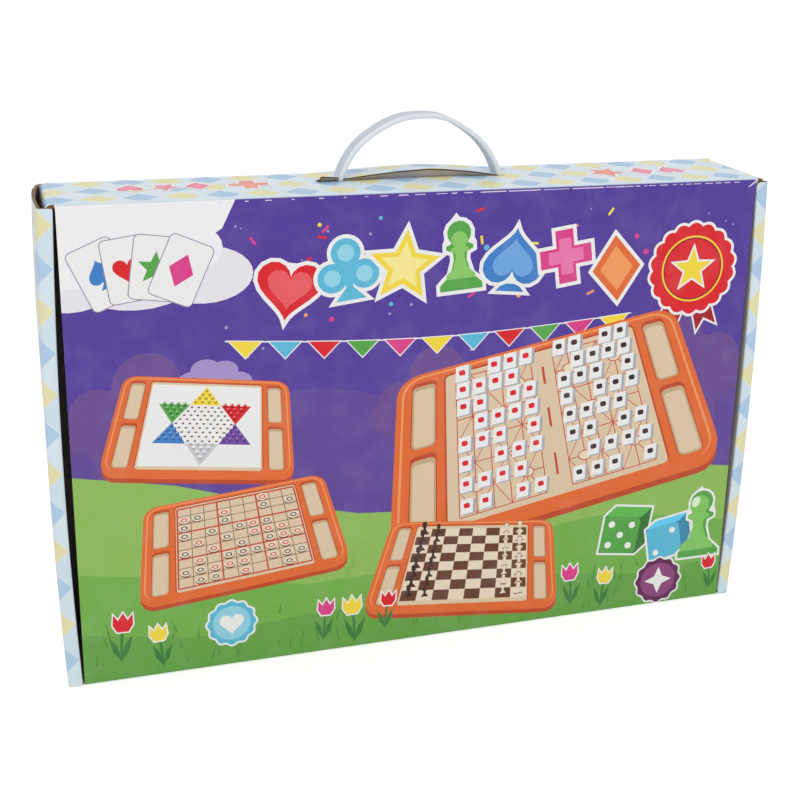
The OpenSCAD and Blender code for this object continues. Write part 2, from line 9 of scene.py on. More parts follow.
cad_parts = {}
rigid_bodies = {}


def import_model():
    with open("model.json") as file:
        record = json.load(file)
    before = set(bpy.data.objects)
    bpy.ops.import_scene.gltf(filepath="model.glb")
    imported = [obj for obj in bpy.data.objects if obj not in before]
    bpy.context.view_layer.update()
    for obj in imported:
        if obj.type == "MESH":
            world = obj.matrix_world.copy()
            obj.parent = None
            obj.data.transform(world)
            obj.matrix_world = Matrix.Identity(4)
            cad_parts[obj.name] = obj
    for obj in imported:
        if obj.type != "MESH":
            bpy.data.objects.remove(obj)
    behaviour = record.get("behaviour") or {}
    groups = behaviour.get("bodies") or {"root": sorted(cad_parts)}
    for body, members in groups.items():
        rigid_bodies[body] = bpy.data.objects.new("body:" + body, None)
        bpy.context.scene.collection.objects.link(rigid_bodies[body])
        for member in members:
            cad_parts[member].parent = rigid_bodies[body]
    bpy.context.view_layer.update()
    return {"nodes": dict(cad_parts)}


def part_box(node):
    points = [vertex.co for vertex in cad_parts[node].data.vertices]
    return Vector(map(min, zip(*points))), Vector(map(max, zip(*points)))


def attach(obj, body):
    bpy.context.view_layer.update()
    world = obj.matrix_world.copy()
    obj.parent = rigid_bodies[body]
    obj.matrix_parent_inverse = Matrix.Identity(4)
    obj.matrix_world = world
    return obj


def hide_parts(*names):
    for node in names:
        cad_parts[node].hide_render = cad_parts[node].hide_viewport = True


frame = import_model()
mm = 0.001
for loaded in bpy.data.objects:
    loaded.select_set(False)

# ---- sizes read from the frame, in millimetres ----

def inMm(corners):
    return [corner / mm for corner in corners]


lidLow, lidHigh = inMm(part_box("lid_panel"))
wallLow, wallHigh = inMm(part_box("left_outer_wall"))
stripHigh = inMm(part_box("left_roll_strip"))[1]
strapLow, strapHigh = inMm(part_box("handle_strap"))
frontY, backY = lidLow.y, inMm(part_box("back_panel"))[1].y
boardT = lidHigh.y - lidLow.y
cartonH = wallHigh.z
bowSize = 3.0
cornerX = -wallLow.x - bowSize  # half the width at the corners
stripW = cornerX + stripHigh.x  # width of the rolled front strips


def bowOut(z):
    return bowSize * (1 - ((z - cartonH / 2) / (cartonH / 2)) ** 2)


def smooth(t):
    t = min(1, max(0, t))
    return t * t * (3 - 2 * t)


def blend(first, second, share):
    return first + (second - first) * share


def around(angle, wide=1.0, high=None):  # a point of a circle or ellipse, at an angle in degrees
    return (wide * cos(radians(angle)), (wide if high is None else high) * sin(radians(angle)))


# ---- camera ----

cameraSet = {
    "place": (-0.19734, -0.65711, 0.39460),
    "angles": (73.468, -1.315, -17.173),
    "lens": 56.715,
    "shift": (-0.0395, -0.1152),
}
cameraData = bpy.data.cameras.new("camera")
cameraData.lens = cameraSet["lens"]
cameraData.shift_x, cameraData.shift_y = cameraSet["shift"]
camera = bpy.data.objects.new("camera", cameraData)
camera.location = cameraSet["place"]
camera.rotation_euler = Euler([radians(a) for a in cameraSet["angles"]])
bpy.context.scene.collection.objects.link(camera)
bpy.context.scene.camera = camera
print("camera set")


# ---- material helpers ----

def paint(red, green, blue):  # a colour as it is seen, as straight light
    shares = [part / 255 for part in (red, green, blue)]
    return tuple(c / 12.92 if c <= 0.04045 else ((c + 0.055) / 1.055) ** 2.4 for c in shares)


def addNode(tree, kind, inputs=None, **settings):  # an input is a plain value or another node's output
    node = tree.nodes.new("ShaderNode" + kind)
    for key, value in settings.items():
        setattr(node, key, value)
    for key, value in (inputs or {}).items():
        if isinstance(value, bpy.types.NodeSocket):
            tree.links.new(value, node.inputs[key])
        else:
            node.inputs[key].default_value = value
    return node


def calculate(tree, value, *steps):  # each step is an operation, alone or with its second value
    for step in steps:
        operation, second = (step, 0.0) if isinstance(step, str) else step
        value = addNode(tree, "Math", {0: value, 1: second}, operation=operation).outputs[0]
    return value


class Finish:  # a material, its shader and the nodes that feed it
    def __init__(self, name, roughness, coat=0.0, gloss=0.5):
        self.material = bpy.data.materials.new(name)
        self.material.use_nodes = True
        self.tree = self.material.node_tree
        self.shader = self.tree.nodes["Principled BSDF"]
        self.set({"Roughness": roughness, "Specular IOR Level": gloss})
        if coat:
            self.set({"Coat Weight": coat, "Coat Roughness": 0.16})

    def set(self, values):
        for key, value in values.items():
            self.shader.inputs[key].default_value = value

    def feed(self, output, key="Base Color"):
        self.tree.links.new(output, self.shader.inputs[key])

    def place(self, kind="Object"):
        return addNode(self.tree, "TexCoord").outputs[kind]

    def ink(self):
        return addNode(self.tree, "VertexColor", layer_name="ink").outputs["Color"]

    def axes(self, place):
        return addNode(self.tree, "SeparateXYZ", {"Vector": place}).outputs

    def calculate(self, value, *steps):
        return calculate(self.tree, value, *steps)

    def mix(self, share, first, second):
        first, second = [c if isinstance(c, bpy.types.NodeSocket) else (*c, 1) for c in (first, second)]
        return addNode(self.tree, "Mix", {0: share, 6: first, 7: second}, data_type="RGBA").outputs[2]

    def noise(self, place, scale, detail=3.0, roughness=0.55):
        inputs = {"Vector": place, "Scale": scale, "Detail": detail, "Roughness": roughness}
        return addNode(self.tree, "TexNoise", inputs).outputs["Fac"]

    def stretched(self, place, *scale):
        return addNode(self.tree, "Mapping", {"Vector": place, "Scale": scale}).outputs[0]

    def spread(self, value, low, high, outLow=0.0, outHigh=1.0):
        inputs = {"Value": value, "From Min": low, "From Max": high, "To Min": outLow, "To Max": outHigh}
        return addNode(self.tree, "MapRange", inputs).outputs[0]

    def bump(self, height, distance, strength):
        inputs = {"Height": height, "Distance": distance, "Strength": strength}
        self.feed(addNode(self.tree, "Bump", inputs).outputs[0], "Normal")

    def varyRoughness(self, value, low, high):
        self.feed(self.spread(value, 0.3, 0.7, low, high), "Roughness")

    def overlay(self, share, colour):  # lays a colour over the one that the shader has
        base = self.shader.inputs["Base Color"].links[0].from_socket
        self.feed(self.mix(share, base, colour))


# ---- materials ----

carton = {
    "argylePitch": 21.7,
    "flutePitch": 2.3,
    "ground": ((218, 233, 241), (212, 229, 240)),
    "blue": (177, 207, 234),
    "yellow": (233, 227, 176),
    "blueDeep": (156, 194, 228),  # of the large sheet
    "yellowDeep": (230, 223, 158),
    "line": (230, 240, 246),
    "kraft": (150, 112, 76),
    "greyLiner": (190, 187, 181),
}


def washboard(finish, along, height):  # faint lines that the flutes press into the print
    wave = finish.calculate(along, ("MULTIPLY", 2 * pi / (carton["flutePitch"] * mm)), "SINE", ("MULTIPLY", 0.5))
    return finish.calculate(wave, ("ADD", height))


def argyle(name, centre, pitches, gap=0.0, fluteAxis=None, plainBefore=None, tones=("yellow", "blue")):
    finish = Finish(name, 0.34, coat=0.04, gloss=0.28)
    step = finish.calculate
    place = finish.place("UV")
    axes = finish.axes(place)
    wobble = step(finish.noise(place, 60, 2), ("SUBTRACT", 0.5), ("MULTIPLY", 0.02))
    across, up = [step(axes[i], ("SUBTRACT", centre[i] * mm), ("DIVIDE", pitches[i] * mm)) for i in (0, 1)]
    total = step(across, ("ADD", up), ("ADD", 0.5), ("ADD", wobble))
    apart = step(across, ("SUBTRACT", up), ("ADD", 0.5))
    oddA, oddB = [step(value, "FLOOR", ("FLOORED_MODULO", 2.0)) for value in (total, apart)]
    ground = step(oddA, ("SUBTRACT", oddB), "ABSOLUTE")
    edge = 1.0
    for value in (total, apart):
        inCell = step(value, "FRACT")
        edge = step(inCell, ("MINIMUM", step(1.0, ("SUBTRACT", inCell))), ("MINIMUM", edge))
    if gap:  # the diamonds are printed a little smaller than their cells
        ground = step(ground, ("MAXIMUM", step(edge, ("LESS_THAN", gap))))
    line = finish.spread(edge, 0.008, 0.022, 0.55, 0.0)  # a thin light line where two cells meet
    if plainBefore is not None:  # the pattern starts behind the front fold
        bare = step(axes["Y"], ("LESS_THAN", plainBefore * mm))
        ground = step(ground, ("MAXIMUM", bare))
        line = step(line, ("MULTIPLY", step(1.0, ("SUBTRACT", bare))))
    diamond = finish.mix(oddA, *[paint(*carton[tone]) for tone in tones])
    field = finish.mix(oddA, *[paint(*tone) for tone in carton["ground"]])
    colour = finish.mix(line, finish.mix(ground, diamond, field), paint(*carton["line"]))
    mottle = finish.noise(place, 45, 5)
    finish.feed(finish.mix(finish.spread(mottle, 0.35, 0.75, 0, 0.1), colour, paint(250, 250, 250)))
    finish.varyRoughness(mottle, 0.28, 0.42)
    height = finish.noise(place, 900, 3)
    if fluteAxis:
        height = washboard(finish, axes[fluteAxis], height)
    finish.bump(height, 0.00003, 0.55)
    return finish


def inkPrint(name, fluteAxis="X"):
    finish = Finish(name, 0.3, coat=0.1, gloss=0.3)
    place = finish.place()
    mottle = finish.noise(place, 70, 6)
    colour = finish.mix(finish.spread(mottle, 0.45, 0.8, 0.0, 0.05), finish.ink(), paint(235, 230, 240))
    grain = finish.noise(place, 2200, 2)
    finish.feed(finish.mix(finish.spread(grain, 0.4, 0.75, 0.0, 0.06), colour, paint(30, 20, 40)))
    finish.varyRoughness(mottle, 0.24, 0.4)
    sway = finish.calculate(finish.noise(place, 25, 2), ("MULTIPLY", 0.0006))
    along = finish.calculate(finish.axes(place)[fluteAxis], ("ADD", sway))
    finish.bump(washboard(finish, along, finish.noise(place, 700, 3)), 0.00004, 0.6)
    return finish


def fibreBoard(name, colour, shade, grainScale=500):
    finish = Finish(name, 0.85)
    place = finish.place()
    fibres = finish.noise(finish.stretched(place, 1, 1, 0.18), grainScale, 6, 0.7)
    patches = finish.noise(place, 40, 3)
    base = finish.mix(finish.spread(fibres, 0.2, 0.8), paint(*shade), paint(*colour))
    finish.feed(finish.mix(finish.spread(patches, 0.4, 0.7, 0, 0.3), base, paint(*shade)))
    finish.bump(fibres, 0.00005, 0.5)
    return finish


def cutBoard(name):  # the raw cut edge of the board
    finish = Finish(name, 0.9)
    fibres = finish.noise(finish.place(), 1600, 5, 0.7)
    finish.feed(finish.mix(finish.spread(fibres, 0.3, 0.7, 0, 0.5), finish.ink(), paint(74, 58, 44)))
    finish.bump(fibres, 0.0001, 0.7)
    return finish


def plastic(name, colour, shade, roughness=0.32, grain=0.00002):
    finish = Finish(name, roughness)
    finish.set({"IOR": 1.5})
    place = finish.place()
    flow, fine = finish.noise(place, 30, 3), finish.noise(place, 260, 4)
    finish.feed(finish.mix(finish.spread(flow, 0.3, 0.75), paint(*colour), paint(*shade)))
    finish.varyRoughness(fine, roughness * 0.85, roughness * 1.25)
    finish.bump(fine, grain, 0.5)
    return finish


def woodGrain(name, colour, shade):  # the grain runs along X
    finish = Finish(name, 0.45)
    streaks = finish.noise(finish.stretched(finish.place(), 4, 60, 60), 6, 8, 0.65)
    finish.feed(finish.mix(finish.spread(streaks, 0.3, 0.7), paint(*colour), paint(*shade)))
    finish.varyRoughness(streaks, 0.36, 0.54)
    finish.bump(streaks, 0.00004, 0.4)
    return finish


topPrint = argyle("topPrint", (-193.3, 0.9), (20.63, 23.6), gap=0.05, fluteAxis="X", plainBefore=-30.4,
                  tones=("yellowDeep", "blueDeep"))
leftPrint = argyle("leftPrint", (11.6, 255.0), (carton["argylePitch"], carton["argylePitch"]))
rightPrint = argyle("rightPrint", (8.8, 233.3), (carton["argylePitch"], carton["argylePitch"]))
frontInk = inkPrint("frontInk")
boardInk = inkPrint("boardInk", "Z")
greyLiner = fibreBoard("greyLiner", carton["greyLiner"], (172, 167, 160), 350)
kraftLiner = fibreBoard("kraftLiner", carton["kraft"], (118, 84, 54))
cutEdge = cutBoard("cutEdge")
print("materials made")


# ---- mesh helpers ----

def selectOnly(piece):
    for other in bpy.data.objects:
        other.select_set(other == piece)
    bpy.context.view_layer.objects.active = piece


def finishPiece(piece, body, nodes=(), angle=35):
    selectOnly(piece)
    bpy.ops.object.shade_smooth_by_angle(angle=radians(angle))
    if nodes:
        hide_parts(*nodes)
    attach(piece, body)
    piece.select_set(False)
    return piece


def curvedSheet(name, across, along, place, uvPlace=None):  # a grid whose points are set by place(u, v), each 0 to 1
    bpy.ops.object.select_all(action="DESELECT")
    bpy.ops.mesh.primitive_grid_add(x_subdivisions=across, y_subdivisions=along, size=2, enter_editmode=False)
    piece = bpy.context.active_object
    piece.name = piece.data.name = name
    shares = [((v.co.x + 1) / 2, (v.co.y + 1) / 2) for v in piece.data.vertices]
    for vertex, (u, v) in zip(piece.data.vertices, shares):
        vertex.co = Vector(place(u, v)) * mm
    layer = piece.data.uv_layers.active or piece.data.uv_layers.new(name="UVMap")
    if uvPlace:
        for loop in piece.data.loops:
            layer.data[loop.index].uv = [value * mm for value in uvPlace(*shares[loop.vertex_index])]
    piece.select_set(False)
    return piece


def useModifier(piece, kind, **settings):
    selectOnly(piece)
    modifier = piece.modifiers.new(kind.lower(), kind)
    for key, value in settings.items():
        setattr(modifier, key, value)
    bpy.ops.object.modifier_apply(modifier=modifier.name)
    piece.select_set(False)


def turnFaces(piece, closed=False):  # turns the faces over, or those of a closed shape outwards
    selectOnly(piece)
    bpy.ops.object.mode_set(mode="EDIT")
    bpy.ops.mesh.select_all(action="SELECT")
    if closed:
        bpy.ops.mesh.normals_make_consistent(inside=False)
    else:
        bpy.ops.mesh.flip_normals()
    bpy.ops.object.mode_set(mode="OBJECT")
    piece.select_set(False)


def removeFaces(piece, unwanted):
    selectOnly(piece)
    for polygon in piece.data.polygons:
        polygon.select = unwanted(polygon)
    for part in (*piece.data.edges, *piece.data.vertices):
        part.select = False
    bpy.ops.object.mode_set(mode="EDIT")
    bpy.ops.mesh.select_mode(type="FACE")
    bpy.ops.mesh.delete(type="FACE")
    bpy.ops.object.mode_set(mode="OBJECT")
    piece.select_set(False)


def joinPieces(pieces, name):
    bpy.ops.object.select_all(action="DESELECT")
    for piece in pieces:
        piece.select_set(True)
    bpy.context.view_layer.objects.active = pieces[0]
    bpy.ops.object.join()
    pieces[0].name = pieces[0].data.name = name
    pieces[0].select_set(False)
    return pieces[0]


def thicken(piece, amount, inside, edge):
    piece.data.materials.append(inside.material)
    piece.data.materials.append(edge.material)
    useModifier(piece, "SOLIDIFY", thickness=amount * mm, offset=-1.0, material_offset=1, material_offset_rim=2,
                use_even_offset=True)


flutes = {
    "liner": 0.14,  # share of the board's thickness in each liner
    "half": 0.11,  # half the wave's own thickness, in the same shares
    "swing": 0.27,
    "deep": 1.4,
    # the colour of the flute openings is painted shade, dark as the channels lie in shadow; the paper keeps its own
    # colour
    "hollow": (44, 34, 26), "paper": (188, 164, 132),
}


# A strip of real flute openings along a cut board edge: outer(u) and inner(u) are the liners' edges,
# deep the direction into the board
def fluteStrip(name, length, outer, inner, deep, pitch=carton["flutePitch"]):
    waves = max(1, round(length / pitch))
    stepsAlong, stepsAcross = waves * 8, 9

    def hole(u, v):
        wave = 0.5 + flutes["swing"] * sin(2 * pi * u * waves)
        paper = v < flutes["liner"] or v > 1 - flutes["liner"] or abs(v - wave) < flutes["half"]
        return 0.0 if paper else flutes["deep"]

    def place(u, v):
        return Vector(outer(u)).lerp(Vector(inner(u)), v) + Vector(deep) * hole(u, v)

    piece = curvedSheet(name, stepsAlong, stepsAcross, place)
    layer = piece.data.color_attributes.new("ink", "FLOAT_COLOR", "CORNER")
    for loop in piece.data.loops:
        row, column = divmod(loop.vertex_index, stepsAlong + 1)
        # the openings get the painted shade, the paper between them its own colour
        tone = flutes["hollow" if hole(column / stepsAlong, row / stepsAcross) else "paper"]
        layer.data[loop.index].color = (*paint(*tone), 1)
    piece.data.materials.append(cutEdge.material)
    return piece


# ---- printed artwork: flat shapes laid over each other, lowest first, in millimetres ----

class PrintSheet:
    def __init__(self):
        self.shapes = []

    def add(self, points, colour):  # a colour is a name from inks, its three parts, or None for an opening
        points = points if signedArea(points) > 0 else points[::-1]
        self.shapes.append(([Vector(p) for p in points], inks.get(colour, colour)))

    def disc(self, x, z, radius, colour, high=None, turn=0, count=22):
        self.add(placed(roundPoints(radius, high or radius, count), x, z, 1, turn), colour)

    def line(self, points, width, colour):
        self.add(strokePoints(points, width), colour)

    def rim(self, points, width, edge, colour):  # a shape with an even border round it
        self.add(grown(points, width), edge)
        self.add(points, colour)


def shaded(colour, share):
    return tuple(min(255, part * share) for part in inks.get(colour, colour))


def signedArea(points):
    return sum(points[i - 1][0] * points[i][1] - points[i][0] * points[i - 1][1] for i in range(len(points))) / 2


def roundPoints(wide, high, count=22):
    return [around(360 * i / count, wide, high) for i in range(count)]


def placed(points, x, z, size=1.0, turn=0.0):
    c, s = around(turn)
    return [(x + size * (px * c - pz * s), z + size * (px * s + pz * c)) for px, pz in points]


def awayFrom(point, first, second):  # distance from a point to a stretch
    first, second = Vector(first), Vector(second)
    run = second - first
    share = min(1, max(0, (point - first).dot(run) / max(run.length_squared, 1e-9)))
    return (point - first - run * share).length


def grown(points, width):
    count = len(points)
    side = 1 if signedArea(points) > 0 else -1
    result = []
    for i in range(count):
        before, here, after = Vector(points[i - 1]), Vector(points[i]), Vector(points[(i + 1) % count])
        first, second = (here - before).normalized(), (after - here).normalized()
        normal = Vector((first.y + second.y, -first.x - second.x)) * side
        if normal.length < 1e-6:
            normal = Vector((first.y, -first.x)) * side
        normal.normalize()
        facing = max(0.45, normal.dot(Vector((first.y, -first.x)) * side))
        moved = here + normal * width / facing
        others = [(points[j - 1], points[j]) for j in range(count) if j not in (i, (i + 1) % count)]
        if all(awayFrom(moved, *stretch) > 0.97 * width for stretch in others):  # none crosses into a notch
            result.append(tuple(moved))
    return result


def strokePoints(points, width):
    left, right = [], []
    for i, point in enumerate(points):
        before, after = Vector(points[max(0, i - 1)]), Vector(points[min(len(points) - 1, i + 1)])
        heading = (after - before).normalized()
        normal = Vector((-heading.y, heading.x)) * width / 2
        left.append(tuple(Vector(point) + normal))
        right.append(tuple(Vector(point) - normal))
    return left + right[::-1]


def starPoints(count, outer, inner):
    return [around(90 + 180 * i / count, inner if i % 2 else outer) for i in range(2 * count)]


def quad(wide, high):  # a box, from half its width and height
    return [(-wide, -high), (wide, -high), (wide, high), (-wide, high)]


def diamondPoints(wide, high):
    return [(0, -high / 2), (wide / 2, 0), (0, high / 2), (-wide / 2, 0)]


def roundedBox(wide, high, radius, steps=5):
    points = []
    for k, (cx, cz) in enumerate(((1, 1), (-1, 1), (-1, -1), (1, -1))):
        for i in range(steps + 1):
            dx, dz = around(90 * k + 90 * i / steps, radius)
            points.append((cx * (wide / 2 - radius) + dx, cz * (high / 2 - radius) + dz))
    return points


def scallopPoints(step, wave):  # a circle whose edge is waved by wave(angle)
    return [around(a, 1 + wave(radians(a))) for a in range(0, 360, step)]


def heartPoints(size, count=30):
    points = []
    for i in range(count):
        t = 2 * pi * i / count
        z = 13 * cos(t) - 5 * cos(2 * t) - 2 * cos(3 * t) - cos(4 * t)
        points.append((16 * sin(t) ** 3 * size / 32, z * size / 32))
    return points[::-1]


def spadePoints(size):
    return [(x, -z) for x, z in heartPoints(size)][::-1]


def clubLobes(size):
    return [(0, 0.24 * size), (-0.25 * size, -0.12 * size), (0.25 * size, -0.12 * size)]


def footPoints(size):
    return [(-0.24 * size, -0.5 * size), (0.24 * size, -0.5 * size), (0.06 * size, -0.3 * size),
            (0.05 * size, 0), (-0.05 * size, 0), (-0.06 * size, -0.3 * size)]


def pawnPoints(size):
    half = [(0.30, -0.50), (0.30, -0.42), (0.24, -0.36), (0.15, -0.28), (0.09, -0.08), (0.10, 0.03),
            (0.19, 0.07), (0.19, 0.12), (0.12, 0.15)]
    half += placed([around(a, 0.17) for a in range(-45, 91, 27)], 0, 0.29)
    right = [(x * size, z * size) for x, z in half]
    return right + [(-x, z) for x, z in right[::-1]]


def crossPoints(size):
    arm, reach = 0.16 * size, 0.46 * size
    return [(arm, arm), (arm, reach), (-arm, reach), (-arm, arm), (-reach, arm), (-reach, -arm), (-arm, -arm),
            (-arm, -reach), (arm, -reach), (arm, -arm), (reach, -arm), (reach, arm)]


# Where a point of a lying board falls on the page: a runs from -1 to 1 across it, b from -1 near to 1 far
def lyingBoard(x, z, wide, deep, turn, lean):
    c, s = around(turn)

    def at(a, b, up=0.0):
        far = 1 / (1 + lean * (b + 1) / 2)
        px, pz = a * wide / 2 * far, b * deep / 2 * far
        return (x + px * c - pz * s, z + px * s + pz * c + up * far)
    return at


def boardShape(at, a0, b0, a1, b1, radius, up=0.0):  # a rounded box on a lying board
    points, high = [], radius * 1.6
    for k, (a, b) in enumerate(((a1, b1), (a0, b1), (a0, b0), (a1, b0))):
        sa, sb = (-1 if a == a1 else 1), (-1 if b == b1 else 1)
        for i in range(6):
            da, db = around(90 * k + 18 * i, radius, high)
            points.append(at(a + sa * radius + da, b + sb * high + db, up))
    return points


inks = {
    "orange": (233, 110, 48), "orangeDark": (196, 74, 30), "orangeLight": (248, 158, 98),
    "tan": (228, 205, 172), "tanDark": (203, 172, 132), "tanLight": (240, 224, 198),
    "redLine": (205, 74, 56), "white": (244, 244, 243), "grey": (205, 208, 212), "dark": (60, 38, 34),
    "red": (226, 24, 36), "redDark": (172, 18, 38), "yellow": (250, 222, 60), "green": (86, 170, 70),
    "blue": (60, 130, 205), "cyan": (92, 190, 222), "magenta": (226, 60, 140), "purple": (120, 70, 170),
    "plum": (104, 38, 88), "silhouette": (108, 76, 150), "silhouetteFar": (98, 72, 156),
    "meadow": (146, 192, 92), "meadowDark": (118, 180, 76), "meadowDeep": (84, 150, 64),
    "stem": (58, 128, 56), "wear": (235, 220, 240), "brown": (104, 62, 40),
}
pegInks = ["red", "yellow", "green", "blue", "white", "purple"]


def trayPicture(sheet, at, wellShare, thick):  # gives half the width of the tray's recess
    def layer(tone, a0, b0, a1, b1, radius, up=0.0):
        sheet.add(boardShape(at, a0, b0, a1, b1, radius, up), tone)
    for drop, tone in ((thick, "orangeDark"), (thick * 0.45, "orange"), (0, "orange")):
        layer(tone, -1, -1, 1, 1, 0.16, -drop)
    layer("orangeLight", -0.965, -0.945, 0.965, 0.965, 0.14)
    layer("orange", -0.95, -0.945, 0.95, 0.94, 0.13)
    edge = 1 - wellShare
    for side in (-1, 1):
        inner, far = sorted((side * edge, side * 0.9))
        for low, high in ((-0.88, -0.04), (0.04, 0.88)):
            layer("orangeDark", inner, low, far, high, 0.04)
            layer("tanDark", inner + 0.008, low, far - 0.008, high - 0.05, 0.035)
            layer("tan", inner + 0.02, low + 0.02, far - 0.02, high - 0.1, 0.03)
    inside = edge - 0.05
    layer("orangeDark", -inside, -0.9, inside, 0.9, 0.04)
    layer("tan", -inside + 0.012, -0.9, inside - 0.012, 0.87, 0.03)
    return inside - 0.03


def boardLines(sheet, at, a0, b0, a1, b1, columns, rows, width, colour):
    for i in range(columns + 1):
        a = blend(a0, a1, i / columns)
        sheet.line([at(a, b0), at(a, b1)], width, colour)
    for i in range(rows + 1):
        b = blend(b0, b1, i / rows)
        sheet.line([at(a0, b), at(a1, b)], width, colour)


def standingTile(sheet, at, a, b, size, face):  # a white army tile standing on its edge
    x, z = at(a, b)
    wide, rise, lift = size / 2, size * 0.16, size * 1.25
    block = [(x - wide, z), (x + wide, z + rise), (x + wide, z + rise + lift), (x - wide, z + lift)]
    sheet.add([(px + size * 0.22, pz - size * 0.08) for px, pz in block], (176, 178, 186))
    sheet.add(block, "white")
    sheet.add(placed(roundedBox(size * 0.5, size * 0.42, size * 0.12, 2), x, z + lift * 0.62, 1, 9), face)


def flatDisc(sheet, at, a, b, size, rim):
    x, z = at(a, b)
    for drop, wide, high, tone, count in ((0.22, 1, 0.72, "brown", 14), (0, 1, 0.72, "tanLight", 14),
                                          (0, 0.62, 0.42, rim, 12), (0, 0.40, 0.26, "tanLight", 10)):
        sheet.disc(x, z - size * drop, size * wide, tone, size * high, count=count)


def standingPeg(sheet, at, a, b, size, colour):
    x, z = at(a, b)
    sheet.add([(x - size * 0.5, z), (x + size * 0.5, z), (x + size * 0.72, z + size * 1.5),
               (x - size * 0.72, z + size * 1.5)], shaded(colour, 0.72))
    sheet.disc(x, z + size * 1.5, size * 0.78, colour, size * 0.55, count=12)
    sheet.disc(x - size * 0.2, z + size * 1.62, size * 0.26, "white", size * 0.16, count=8)


def armyPicture(sheet, at, inside):
    near, far, columns, rows = -0.84, 0.8, 5, 6
    for side in (-1, 1):
        low, high = sorted((side * inside * 0.12, side * inside * 0.92))
        boardLines(sheet, at, low, near, high, far, columns, rows, 0.6, "redLine")
        for i, j in [(i, j) for i in range(columns) for j in range(rows)]:
            a, a2 = [blend(low, high, k / columns) for k in (i, i + 1)]
            b, b2 = [blend(near, far, k / rows) for k in (j, j + 1)]
            sheet.line([at(a, b), at(a2, b2)] if (i + j) % 2 else [at(a, b2), at(a2, b)], 0.45, "redLine")
        for i, j in ((1, 1), (4, 1), (2, 3), (1, 5), (4, 5)):
            x, z = at(blend(low, high, i / columns), blend(near, far, j / rows))
            sheet.disc(x, z, 4.6, "redLine", 3.3)
            sheet.disc(x, z, 3.9, "tanLight", 2.7)
        for j in range(3):
            b = blend(near, far, (j + 0.5) / 3)
            sheet.line([at(0, b - 0.12), at(0, b + 0.12)], 1.5, "redLine")
    for row in range(7, -1, -1):
        for column in range(5):
            for side, face in ((-1, "red"), (1, "dark")):
                if (3 * row + column * side) % 5 != 3:
                    a = side * inside * (0.18 + 0.78 * column / 4.6)
                    standingTile(sheet, at, a, 0.02 + blend(near, far, row / 7.4), 7.4, face)


def checkerPicture(sheet, at, inside):
    low, high = -0.82, 0.8

    def spot(i, j):
        return at(blend(-inside, inside, i / 8), blend(low, high, j / 8))
    sheet.add([spot(0, 0), spot(8, 0), spot(8, 8), spot(0, 8)], "tanLight")
    for i, j in [(i, j) for i in range(8) for j in range(8) if (i + j) % 2 == 0]:
        sheet.add([spot(i, j), spot(i + 1, j), spot(i + 1, j + 1), spot(i, j + 1)], "brown")
    for i in (7, 6, 1, 0):
        for j in range(7, -1, -1):
            x, z = spot(i + 0.5, j + 0.5)
            size = 7.6 if i in (0, 7) else 6.0
            sheet.add(placed(pawnPoints(size * 1.15), x, z + size * 0.42), "brown")
            sheet.add(placed(pawnPoints(size), x, z + size * 0.42), "dark" if i < 4 else "tanLight")


def starPicture(sheet, at, inside):
    sheet.add([at(-inside, -0.84), at(inside, -0.84), at(inside, 0.82), at(-inside, 0.82)], "white")

    def spot(x, z):  # a place in holes, from the star's middle
        return (inside * 0.12 * x, 0.1 * z - 0.02)
    for k, colour in enumerate(pegInks):
        corners = (around(60 * k + 30, 8), around(60 * k, 4.62), around(60 * k + 60, 4.62))
        sheet.add([at(*spot(*corner)) for corner in corners], "grey" if colour == "white" else colour)
    for r in range(8, -9, -1):
        for q in range(-8, 9):
            far = (q, r, -q - r)
            px, pz = q + r / 2, r * 0.866
            if max(far) > 4 and min(far) < -4:
                continue
            if max(far) > 4 or min(far) < -4:
                point = int(((degrees(atan2(pz, px)) - 0.01) % 360) // 60)
                standingPeg(sheet, at, *spot(px, pz), 1.25, pegInks[point])
            else:
                sheet.disc(*at(*spot(px, pz)), 0.75, "brown", 0.5, count=8)


def numberPicture(sheet, at, inside):
    low, high = -0.84, 0.82
    boardLines(sheet, at, -inside, low, inside, high, 9, 9, 0.35, "brown")
    boardLines(sheet, at, -inside, low, inside, high, 3, 3, 0.9, "redLine")
    chosen = random.Random(11)
    for j in range(8, -1, -1):
        for i in range(9):
            if chosen.random() < 0.42:
                a, b = blend(-inside, inside, (i + 0.5) / 9), blend(low, high, (j + 0.5) / 9)
                flatDisc(sheet, at, a, b, 3.0, chosen.choice(["dark", "red"]))


def diePicture(sheet, x, z, size, turn, face, shade, dots):
    front = placed(quad(0.5, 0.5), x, z, size, turn)
    back = [(px + 0.28 * size, pz + 0.24 * size) for px, pz in front]
    sheet.rim([front[0], front[1], back[1], back[2], back[3], front[3]], 1.3, "white", shade)
    sheet.add([front[3], front[2], back[2], back[3]], shaded(face, 1.12))
    sheet.add([front[1], back[1], back[2], front[2]], shade)
    sheet.add(placed(roundedBox(1, 1, 0.12, 3), x, z, size, turn), face)
    for spot in placed([(0.28 * dx, 0.28 * dz) for dx, dz in dots], x, z, size, turn):
        sheet.disc(*spot, size * 0.09, "white", count=12)


def tulipPicture(sheet, x, z, size, colour, lean):
    top = (x + lean * size, z + size * 1.5)
    sheet.line([(x, z), (x + lean * size * 0.3, z + size * 0.8), top], size * 0.1, "stem")
    for side in (-1, 1):
        leaf = [(0, 0), (0.28, 0.35), (0.42, 1.0), (0.12, 0.6)]
        sheet.add([(x + side * px * size, z + pz * size) for px, pz in leaf], "stem")
    cup = [(-0.34, 0.36), (-0.36, -0.06), (-0.2, -0.34), (0.2, -0.34), (0.36, -0.06), (0.34, 0.36), (0.17, 0.12),
           (0, 0.42), (-0.17, 0.12)]
    sheet.rim(placed(cup, top[0], top[1], size, -20 * lean), 0.8, "white", colour)


